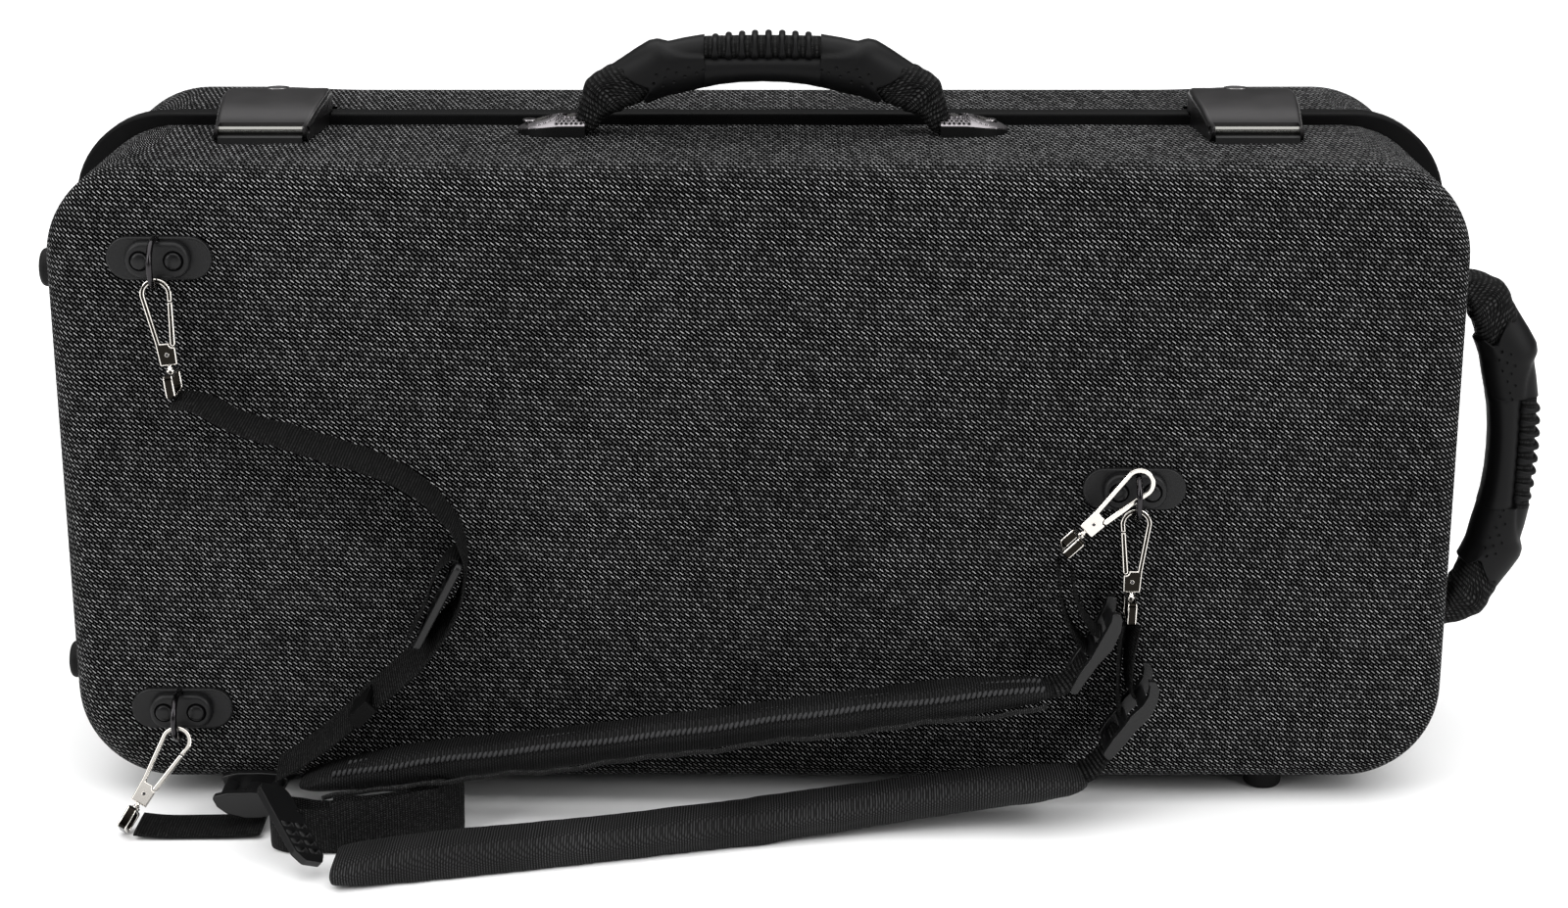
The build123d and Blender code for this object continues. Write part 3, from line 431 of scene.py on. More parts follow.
def mat_weave():
    """Hard woven cover: rows of slanting pale dashes, each followed by a dot, on black."""
    k = Nodes("woven_cover")
    uvn = k.n("ShaderNodeUVMap", uv_map="flat")
    mp = k.n("ShaderNodeMapping")
    mp.inputs["Rotation"].default_value = (0, 0, math.radians(1.9))
    pitch = 2.46
    mp.inputs["Scale"].default_value = (1 / pitch, 1 / pitch, 1)
    k.link(uvn.outputs[0], mp.inputs["Vector"])
    wob = k.n("ShaderNodeTexNoise")
    wob.inputs["Scale"].default_value = 0.12
    wob.inputs["Detail"].default_value = 2.0
    k.link(mp.outputs[0], wob.inputs["Vector"])
    sep = k.n("ShaderNodeSeparateXYZ")
    k.link(mp.outputs[0], sep.inputs[0])
    wsep = k.n("ShaderNodeSeparateColor")
    k.link(wob.outputs["Color"], wsep.inputs[0])
    u0 = k.math("ADD", sep.outputs[0], k.math("MULTIPLY", k.math("SUBTRACT", wsep.outputs[0], 0.5), 0.5))
    v0 = k.math("ADD", sep.outputs[1], k.math("MULTIPLY", k.math("SUBTRACT", wsep.outputs[1], 0.5), 0.5))

    def cells(du, dv, la, lb, ang):
        v = k.math("ADD", v0, dv)
        row = k.math("FLOOR", v)
        u = k.math("ADD", k.math("ADD", u0, du), k.math("ADD", k.math("MULTIPLY", row, 0.54), k.math("MULTIPLY", k.math("FLOORED_MODULO", row, 2.0), 0.07)))
        fx = k.math("SUBTRACT", k.math("FRACT", u), 0.5)
        fy = k.math("SUBTRACT", k.math("FRACT", v), 0.5)
        c, s = math.cos(ang), math.sin(ang)
        a = k.math("ADD", k.math("MULTIPLY", fx, c / la), k.math("MULTIPLY", fy, -s / la))
        b = k.math("ADD", k.math("MULTIPLY", fx, s / lb), k.math("MULTIPLY", fy, c / lb))
        d = k.math("SQRT", k.math("ADD", k.math("POWER", k.math("ABSOLUTE", a), 2.6),
                                  k.math("POWER", k.math("ABSOLUTE", b), 2.0)))
        comb = k.n("ShaderNodeCombineXYZ")
        k.link(k.math("FLOOR", u), comb.inputs[0])
        k.link(row, comb.inputs[1])
        wn = k.n("ShaderNodeTexWhiteNoise", noise_dimensions="2D")
        k.link(comb.outputs[0], wn.inputs["Vector"])
        m = k.n("ShaderNodeMapRange", interpolation_type="SMOOTHSTEP")
        m.inputs[1].default_value = 1.12
        m.inputs[2].default_value = 0.45
        k.link(d, m.inputs[0])
        gain = k.math("ADD", k.math("MULTIPLY", wn.outputs["Value"], 0.36), 0.66)
        return m.outputs[0], gain, fy

    dash, dg, dfy = cells(0.0, 0.0, 0.62, 0.112, math.radians(36))
    dot, tg, _ = cells(0.25, 0.5, 0.29, 0.10, math.radians(36))
    height = k.math("MAXIMUM", dash, k.math("MULTIPLY", dot, 0.75))
    big = k.obj_noise(9.0, 2.0)
    tone = k.math("ADD", k.math("MULTIPLY", big, 0.35), 0.83)
    lum = k.math("MAXIMUM", k.math("MULTIPLY", dash, dg), k.math("MULTIPLY", k.math("MULTIPLY", dot, tg), 0.62))
    lum = k.math("MULTIPLY", lum, tone)
    col = k.ramp(lum, [(0.0, (0.0005, 0.0005, 0.0005)), (0.25, (0.002, 0.002, 0.0022)), (0.6, (0.075, 0.075, 0.076)), (1.0, (0.40, 0.40, 0.404))])
    fine = k.obj_noise(1500.0, 2.0)
    k.set(color=col, rough=k.math("ADD", k.math("MULTIPLY", fine, 0.2), 0.6), spec=0.012)
    k.bump(k.math("ADD", height, k.math("MULTIPLY", fine, 0.12)), 0.5, 0.0004)
    return k.m


def mat_plain(name, color, rough, spec=0.5, grain=900.0, grain_amt=0.15, bump_mm=0.05, coat=0.0, metal=0.0,
              vary=0.25, coat_rough=0.2):
    k = Nodes(name)
    n1 = k.obj_noise(grain, 4.0)
    n2 = k.obj_noise(14.0, 3.0)
    shade = k.math("ADD", k.math("MULTIPLY", n2, vary), 1 - vary / 2)
    shade = k.math("MULTIPLY", shade, k.math("ADD", k.math("MULTIPLY", n1, 0.3), 0.85))
    mixn = k.n("ShaderNodeVectorMath", operation="SCALE")
    mixn.inputs[0].default_value = color
    k.link(shade, mixn.inputs["Scale"])
    k.set(color=mixn.outputs[0], metal=metal, spec=spec, coat=coat, coat_rough=coat_rough,
          rough=k.math("ADD", k.math("MULTIPLY", n1, grain_amt), rough - grain_amt / 2))
    k.bump(n1, 0.6, bump_mm / 1000.0)
    return k.m


def mat_metal(name, color, rough, vary=0.1, bump_mm=0.01, wear=None):
    k = Nodes(name)
    n1 = k.obj_noise(60.0, 4.0)
    n2 = k.obj_noise(1200.0, 2.0)
    mixn = k.n("ShaderNodeVectorMath", operation="SCALE")
    mixn.inputs[0].default_value = color
    k.link(k.math("ADD", k.math("MULTIPLY", n1, vary), 1 - vary / 2), mixn.inputs["Scale"])
    k.set(color=mixn.outputs[0], metal=1.0,
          rough=k.math("ADD", k.math("MULTIPLY", n1, rough * 0.5), rough * 0.75))
    k.bump(n2, 0.4, bump_mm / 1000.0)
    return k.m


def mat_webbing(name, rib=1.25, across=True, strength=0.9, base=0.004, hi=0.030, yarn=0.95, sheen=0.0):
    """Woven webbing: ribs across the width, each made of small slanting yarns. u runs along the width, v along the length."""
    k = Nodes(name)
    uvn = k.n("ShaderNodeUVMap", uv_map="flat")
    sep = k.n("ShaderNodeSeparateXYZ")
    k.link(uvn.outputs[0], sep.inputs[0])
    n = k.obj_noise(160.0, 2.0)
    wob = k.math("MULTIPLY", k.math("SUBTRACT", n, 0.5), 0.35)
    u = k.math("ADD", k.math("DIVIDE", sep.outputs[0], yarn), wob)
    v = k.math("ADD", k.math("DIVIDE", sep.outputs[1], rib), wob)
    if not across:
        u, v = v, u
    row = k.math("FLOOR", v)
    fv = k.math("SUBTRACT", k.math("FRACT", v), 0.5)
    uu = k.math("ADD", u, k.math("MULTIPLY", row, 0.5))
    fu = k.math("SUBTRACT", k.math("FRACT", k.math("ADD", uu, k.math("MULTIPLY", fv, 0.45))), 0.5)
    d = k.math("SQRT", k.math("ADD", k.math("POWER", k.math("MULTIPLY", fu, 2.1), 2.0),
                              k.math("POWER", k.math("MULTIPLY", fv, 2.15), 2.0)))
    m = k.n("ShaderNodeMapRange", interpolation_type="SMOOTHSTEP")
    m.inputs[1].default_value = 1.15
    m.inputs[2].default_value = 0.25
    k.link(d, m.inputs[0])
    comb = k.n("ShaderNodeCombineXYZ")
    k.link(k.math("FLOOR", uu), comb.inputs[0])
    k.link(row, comb.inputs[1])
    wn = k.n("ShaderNodeTexWhiteNoise", noise_dimensions="2D")
    k.link(comb.outputs[0], wn.inputs["Vector"])
    h = m.outputs[0]
    lum = k.math("MULTIPLY", h, k.math("ADD", k.math("MULTIPLY", wn.outputs["Value"], 0.7), 0.45))
    col = k.ramp(lum, [(0.0, (base * 0.25,) * 3), (0.4, (base,) * 3), (1.0, (hi,) * 3)])
    k.set(color=col, rough=0.6, spec=0.10, sheen=sheen, sheen_rough=0.5)
    k.bump(h, strength, 0.0005)
    return k.m


M_WEAVE = mat_weave()
M_CORE = mat_plain("inner_shell", (0.030, 0.030, 0.032), 0.55, grain=500.0)
M_BAND = mat_plain("rim_extrusion", (0.0030, 0.0030, 0.0031), 0.46, spec=0.06, grain=260.0, grain_amt=0.2, bump_mm=0.12)
M_RUBBER = mat_plain("grip_rubber", (0.0042, 0.0042, 0.0044), 0.46, spec=0.11, grain=1300.0, bump_mm=0.04)
M_FOOT = mat_plain("foot_rubber", (0.005, 0.005, 0.005), 0.60, spec=0.13, grain=700.0, bump_mm=0.06)
M_RINGBASE = mat_plain("ring_base", (0.0062, 0.0062, 0.0065), 0.42, spec=0.2, grain=1100.0, bump_mm=0.05)
M_RIVET_BLK = mat_plain("ring_rivet", (0.0032, 0.0032, 0.0035), 0.34, spec=0.22, grain=800.0, bump_mm=0.04)
M_PEWTER = mat_metal("latch_pewter", (0.054, 0.052, 0.053), 0.38, vary=0.14, bump_mm=0.03)
M_LATCH_DARK = mat_plain("latch_base", (0.004, 0.004, 0.0042), 0.40, spec=0.2, grain=900.0, bump_mm=0.03)
M_NICKEL = mat_metal("bright_nickel", (0.80, 0.765, 0.715), 0.07, vary=0.05, bump_mm=0.004)
M_SATIN_BAR = mat_metal("satin_bar", (0.21, 0.207, 0.195), 0.26, vary=0.05)
M_GUN = mat_metal("gunmetal", (0.235, 0.222, 0.228), 0.21, vary=0.18)
M_GUN_DARK = mat_metal("gunmetal_dark", (0.052, 0.050, 0.052), 0.30, vary=0.15)
M_RINGMETAL = mat_metal("ring_metal", (0.036, 0.034, 0.036), 0.22, vary=0.12)
M_HINGE = mat_metal("hinge_steel", (0.11, 0.11, 0.115), 0.28)
M_STRAPPLASTIC = mat_plain("strap_plastic", (0.0045, 0.0045, 0.0047), 0.33, spec=0.3, grain=1000.0, bump_mm=0.03)
M_WEB = mat_webbing("strap_webbing")
M_WEB_HANDLE = mat_webbing("handle_webbing", rib=2.1, yarn=1.25, base=0.004, hi=0.045, strength=1.0)
M_PLUSH = mat_plain("plush_lining", (0.016, 0.016, 0.018), 0.92, spec=0.1, grain=600.0, bump_mm=0.5, vary=0.5)
M_PAD = mat_webbing("pad_fabric", rib=1.3, yarn=1.5, base=0.004, hi=0.022, strength=0.6)

CAD_MATS = {
    "back_shell": M_CORE, "lid_shell": M_CORE, "back_cover": M_WEAVE, "lid_cover": M_WEAVE, "lid_rim_band": M_BAND,
    "hinge_leaves_back": M_HINGE, "hinge_leaves_lid": M_HINGE, "hinge_pins": M_HINGE, "latch_bases": M_LATCH_DARK,
    "latch_pins": M_SATIN_BAR, "latch_strikes": M_GUN_DARK, "latch_lever_left": M_PEWTER,
    "latch_lever_right": M_PEWTER, "latch_bail_left": M_NICKEL, "latch_bail_right": M_NICKEL,
    "shell_rivets": M_HINGE, "lid_rivets": M_HINGE, "handle_brackets_top": M_GUN, "handle_brackets_end": M_GUN,
    "bracket_rivets": M_GUN, "ring_bases": M_RINGBASE, "ring_rivets": M_RIVET_BLK, "d_ring_upper": M_RINGMETAL,
    "d_ring_lower": M_RINGMETAL, "d_ring_right": M_RINGMETAL, "feet_back": M_FOOT, "feet_lid": M_FOOT,
    "foot_screws_back": M_HINGE, "foot_screws_lid": M_HINGE, "foam_insert": M_PLUSH, "lid_foam": M_PLUSH,
    "top_handle_grip": M_RUBBER, "end_handle_grip": M_RUBBER, "strap_a_slider": M_STRAPPLASTIC,
    "strap_a_ladder_lock": M_STRAPPLASTIC, "strap_a_buckle": M_STRAPPLASTIC, "strap_b_buckle": M_STRAPPLASTIC,
    "strap_b_ladder_lock": M_STRAPPLASTIC,
}
for node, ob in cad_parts.items():
    m = CAD_MATS.get(node)
    if m is None:
        m = M_NICKEL if node.startswith("hook") else M_WEB
    ob.data.materials.clear()
    ob.data.materials.append(m)

# ------------------------------------------------------------------ camera, floor and light
cam_data = bpy.data.cameras.new("camera")
cam_data.lens, cam_data.sensor_width, cam_data.sensor_fit = 66.12, 36.0, "AUTO"
cam_data.clip_start, cam_data.clip_end = 0.05, 80.0
cam = bpy.data.objects.new("camera", cam_data)
cam.location = P(11.31, -1333.68, 547.20)
cam.rotation_euler = (math.pi / 2 - 0.297098, 0, 0)
bpy.context.collection.objects.link(cam)
SCN.camera = cam

floor_me = bpy.data.meshes.new("floor")
R = 24.0
floor_me.from_pydata([(-R, -R, 0), (R, -R, 0), (R, R, 0), (-R, R, 0)], [], [(0, 1, 2, 3)])
floor = bpy.data.objects.new("floor", floor_me)
bpy.context.collection.objects.link(floor)
kf = Nodes("pale_floor")
fn = kf.obj_noise(1.5, 2.0)
kf.set(color=kf.ramp(fn, [(0.0, (0.86, 0.86, 0.86)), (1.0, (0.90, 0.90, 0.90))]), rough=0.8, spec=0.1)
floor_me.materials.append(kf.m)

world = bpy.data.worlds.new("studio")
SCN.world = world
world.use_nodes = True
wt = world.node_tree
bg = wt.nodes["Background"]
wtc = wt.nodes.new("ShaderNodeTexCoord")
wsp = wt.nodes.new("ShaderNodeSeparateXYZ")
wt.links.new(wtc.outputs["Generated"], wsp.inputs[0])
# a wide white ceiling over dim walls
wmr = wt.nodes.new("ShaderNodeMapRange")
wmr.interpolation_type = "SMOOTHSTEP"
wmr.inputs[1].default_value = 0.56
wmr.inputs[2].default_value = 0.80
wmr.inputs[3].default_value = 0.10
wmr.inputs[4].default_value = 2.7
wt.links.new(wsp.outputs[2], wmr.inputs[0])
wt.links.new(wmr.outputs[0], bg.inputs[1])
bg.inputs[0].default_value = (1, 1, 1, 1)


def area_light(name, loc, target, size, power, size_y=None):
    d = bpy.data.lights.new(name, "AREA")
    d.energy = power
    d.shape = "RECTANGLE"
    d.size = size
    d.size_y = size_y or size
    o = bpy.data.objects.new(name, d)
    o.location = loc
    o.rotation_euler = (Vector(target) - Vector(loc)).to_track_quat("-Z", "Y").to_euler()
    bpy.context.collection.objects.link(o)
    return o


area_light("fill_left", (-2.0, -1.5, 1.3), (0, 0, 0.12), 1.0, 34, 1.4)
area_light("fill_right", (2.0, -1.6, 1.4), (0, 0, 0.12), 1.0, 38, 1.4)
SCN.view_settings.view_transform = "Standard"

# ------------------------------------------------------------------ shell covers
W, H, Z0 = 630.0, 291.0, 10.0
ZT, ZM = Z0 + H, Z0 + H / 2
DB, DL, DLE, RC, RE_B, RE_L = 103.0, 75.0, 84.0, 44.0, 15.0, 11.0
Y_BACK, Y_LID = -5.6, -5.2


def outline_params(x_extra=(), up=0.0):
    """Stations round the outline: skeleton point inside the corner radius, and outward direction."""
    hx, hz = W / 2 - RC, (H + up) / 2 - RC
    xs = sorted(set(list(np.linspace(-hx, hx, 25)) + [v for v in x_extra if -hx < v < hx]))
    zs = np.linspace(-hz, hz, 9)
    out = []
    for x in xs:
        out.append((x, -hz, 0.0, -1.0))
    for k in range(1, 16):
        a = -math.pi / 2 + math.pi / 2 * k / 16
        out.append((hx, -hz, math.cos(a), math.sin(a)))
    for z in zs:
        out.append((hx, z, 1.0, 0.0))
    for k in range(1, 16):
        a = math.pi / 2 * k / 16
        out.append((hx, hz, math.cos(a), math.sin(a)))
    for x in reversed(xs):
        out.append((x, hz, 0.0, 1.0))
    for k in range(1, 16):
        a = math.pi / 2 + math.pi / 2 * k / 16
        out.append((-hx, hz, math.cos(a), math.sin(a)))
    for z in reversed(zs):
        out.append((-hx, z, -1.0, 0.0))
    for k in range(1, 16):
        a = math.pi + math.pi / 2 * k / 16
        out.append((-hx, -hz, math.cos(a), math.sin(a)))
    return out


def cover(name, node, body, y_open, depth_at, r_edge, sign, x_extra=(), mirror_v=1.0, thick=1.2, up=0.0, recess=()):
    """Cover of one half: sides, rounded edge and face, with a wall thickness. sign is -1 towards the back, +1 towards the lid's face.
    Its flat coordinates run on from the face over the edge and down the sides, as a sheet pulled over the form does."""
    st = outline_params(x_extra, up)
    n = len(st)
    verts, uvs, faces = [], [], []

    arc = r_edge * math.pi / 2

    def ring(inset, y_of, t_of):
        idx = []
        for (cx, cz, nx, nz) in st:
            r = RC - inset
            x, z = cx + nx * r, ZM + up / 2 + cz + nz * r
            y = y_of(x)
            verts.append((x, y, z))
            t = t_of(x)
            ru = RC - r_edge + min(t, arc) + 0.6 * max(0.0, t - arc)
            uvs.append((cx + nx * ru, mirror_v * (cz + nz * ru)))
            idx.append(len(verts) - 1)
        return idx

    arc = r_edge * math.pi / 2
    rings = []
    # the side from its open edge, then the rounding, then a flat rim
    for f in (0.0, 0.02, 0.25, 0.5, 0.75, 0.98, 1.0):
        rings.append(ring(0.0, lambda x, f=f: lerp(y_open, sign * (depth_at(x) - r_edge), f),
                          lambda x, f=f: arc + (1 - f) * (depth_at(x) - r_edge - abs(y_open) * (1 if sign < 0 else -1))))
    for k in range(1, 8):
        a = math.pi / 2 * k / 8
        rings.append(ring(r_edge * (1 - math.cos(a)), lambda x, a=a: sign * (depth_at(x) - r_edge + r_edge * math.sin(a)),
                          lambda x, a=a: arc - r_edge * a))
    rings.append(ring(r_edge, lambda x: sign * depth_at(x), lambda x: 0.0))
    rings.append(ring(r_edge + 1.0, lambda x: sign * depth_at(x), lambda x: -1.0))
    # then the same ones inside, in the opposite order
    inner = []
    ri = r_edge - thick
    inner.append(ring(thick, lambda x: y_open, lambda x: arc + depth_at(x)))
    inner.append(ring(thick, lambda x: sign * (depth_at(x) - r_edge), lambda x: arc))
    for k in range(1, 5):
        a = math.pi / 2 * k / 4
        inner.append(ring(thick + ri * (1 - math.cos(a)), lambda x, a=a: sign * (depth_at(x) - r_edge + ri * math.sin(a)),
                          lambda x, a=a: 0.0))
    for a, b in zip(rings[:-1], rings[1:]):
        for j in range(n):
            faces.append((a[j], a[(j + 1) % n], b[(j + 1) % n], b[j]))
    for a, b in zip(inner[:-1], inner[1:]):
        for j in range(n):
            faces.append((a[(j + 1) % n], a[j], b[j], b[(j + 1) % n]))
    for j in range(n):
        faces.append((rings[0][(j + 1) % n], rings[0][j], inner[0][j], inner[0][(j + 1) % n]))

    def close_face(last, inset, y_shift, flip):
        """Strips between the lower and the upper long side, station by station."""
        low = [i for i in range(n) if st[i][3] < 0 or (st[i][3] == 0 and False)]
        # order: bottom stations by x, top stations by x, sides by z
        pts = [(verts[last[i]][0], verts[last[i]][2], last[i]) for i in range(n)]
        bm = bmesh.new()
        vs = [bm.verts.new((p[0], 0, p[1])) for p in pts]
        es = [bm.edges.new((vs[i], vs[(i + 1) % n])) for i in range(n)]
        cols = sorted(set(round(verts[last[i]][0], 4) for i in range(n) if st[i][2] == 0.0))
        bm.free()
        # split the face in columns at the stations of the long sides
        hx = W / 2 - RC
        bottom = {round(st[i][0], 4): last[i] for i in range(n) if st[i][3] == -1.0}
        top = {round(st[i][0], 4): last[i] for i in range(n) if st[i][3] == 1.0}
        keys = sorted(bottom)
        for a, b in zip(keys[:-1], keys[1:]):
            f = (bottom[a], bottom[b], top[b], top[a])
            faces.append(f if not flip else tuple(reversed(f)))
        right = [last[i] for i in range(n) if st[i][2] > 0 or (st[i][0] == hx and abs(st[i][3]) == 1.0)]
        left = [last[i] for i in range(n) if st[i][2] < 0 or (st[i][0] == -hx and abs(st[i][3]) == 1.0)]
        order = {last[i]: i for i in range(n)}
        right.sort(key=lambda v: order[v])
        faces.append(tuple(right) if not flip else tuple(reversed(right)))
        i0 = order[top[keys[0]]]
        seq = [last[(i0 + k) % n] for k in range(n) if last[(i0 + k) % n] in set(left)]
        faces.append(tuple(seq) if not flip else tuple(reversed(seq)))

    close_face(rings[-1], r_edge + 1.0, 0, False)
    close_face(inner[-1], r_edge, 0, True)
    o = add_mesh(name, verts, faces, M_WEAVE, uv=uvs, body=body, sharp_deg=60)
    fix_normals(o)
    if recess:
        cut = []
        for x0, x1, y0, y1, z0, z1 in recess:
            cut.append(add_mesh("cut", [(x, y, z) for x in (x0, x1) for y in (y0, y1) for z in (z0, z1)],
                                [(0, 1, 3, 2), (4, 6, 7, 5), (0, 4, 5, 1), (2, 3, 7, 6), (0, 2, 6, 4), (1, 5, 7, 3)],
                                M_CORE, body=None, smooth=False))
        tool = join("cut", cut)
        fix_normals(tool)
        md = o.modifiers.new("recess", "BOOLEAN")
        md.operation = "DIFFERENCE"
        md.solver = "EXACT"
        md.object = tool
        apply_mods(o)
        bpy.data.objects.remove(tool, do_unlink=True)
    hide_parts(node)
    return o


def lid_depth(x):
    """Depth of the lid: deeper at both ends, joined by two tangent arcs."""
    x0, x1, lo, hi = 190.0, 246.0, DL, DLE
    a = abs(x)
    if a <= x0:
        return lo
    if a >= x1:
        return hi
    step, run = hi - lo, x1 - x0
    r = (run ** 2 + step ** 2) / (4 * step)
    if a <= (x0 + x1) / 2:
        return lo + r - math.sqrt(r * r - (a - x0) ** 2)
    return hi - r + math.sqrt(r * r - (x1 - a) ** 2)


cover("case_back_cover", "back_cover", "root", Y_BACK, lambda x: DB, RE_B, -1.0)
lid_x = [s * v for s in (-1, 1) for v in np.linspace(188, 248, 17)]
cover("case_lid_cover", "lid_cover", "lid", -2.2, lid_depth, RE_L, 1.0, x_extra=lid_x, mirror_v=-1.0, up=4.4,
      recess=[(x - 25.3, x + 25.3, -7.2, 18.6, ZT, ZT + 20) for x in (-225.0, 225.0)])

# ------------------------------------------------------------------ handle grips
S_MID = 1.6                       # the middle of both handles, along the grip
GRIP_TOP = [(0, 46.8), (26.4, 45.2), (36.0, 43.6), (43.1, 42.0), (45.5, 42.6), (47.9, 43.2), (52.0, 42.4), (58.0, 38.8),
            (64.0, 34.8), (69.8, 31.0)]
GRIP_BOT = [(0, 24.0), (10.0, 23.7), (20.0, 22.6), (27.8, 20.9), (36.0, 18.9), (44.1, 17.2), (49.0, 15.4), (52.6, 13.8)]
GRIP_END = [(0.0, 52.6), (0.05, 52.5), (0.16, 53.9), (0.24, 52.8), (0.40, 51.1), (0.505, 52.0), (0.615, 57.1), (0.83, 64.4),
            (0.94, 68.6), (1.0, 69.8)]
GRIP_LINE = [(0, 37.6), (25.3, 36.4), (34.9, 36.8), (39.3, 37.9), (43.7, 39.8), (47.3, 43.2), (55, 46)]
GRIP_PITS = [(-46.6, 28.4), (-47.8, 24.4), (-43.7, 23.3), (-42.6, 27.0), (-41.2, 30.8), (-38.6, 25.1), (-37.4, 29.3),
             (-33.6, 27.7), (-31.9, 31.6), (-28.3, 29.2), (-25.2, 30.5)]
RIB_S = [-20.0, -13.9, -7.8, -1.9, 4.3, 10.5, 16.5, 22.5]
RIB_R = [45.0, 45.8, 46.3, 46.7, 46.8, 46.7, 46.3, 45.9]


def grip_half_width(t, r):
    """Half the grip's width across the hand: it is fullest at its middle height."""
    w = lerp(11.6, 9.6, smooth01((t - 44) / 26.0))
    line = interp(t, GRIP_LINE)
    if t < 50:
        w -= 1.5 * smooth01((r - line + 0.2) / 0.9) * (1 - smooth01((t - 45.0) / 4.0))
    return w


def grip_point(t_abs, q, phi, shrink=0.0):
    """Point of the grip's skin at station t (or q past t = 40), round the section by phi."""
    n = 2.5
    sn, cn = math.sin(phi), math.cos(phi)
    h = 0.5 + 0.5 * math.copysign(abs(sn) ** (2 / n), sn)
    if q is None:
        t = t_abs
        top = interp(t, GRIP_TOP) if t > 26.5 else 37.4
        r = lerp(interp(t, GRIP_BOT) + shrink, top - shrink, h)
    else:
        t_end = interp(h, GRIP_END)
        t = 40 + (t_end - 40) * q
        r = lerp(interp(40 + 12.6 * q, GRIP_BOT) + shrink, interp(40 + 29.8 * q, GRIP_TOP) - shrink, h)
    w = (grip_half_width(t, r) - shrink) * math.copysign(abs(cn) ** (2 / n), cn)
    return t, r, w


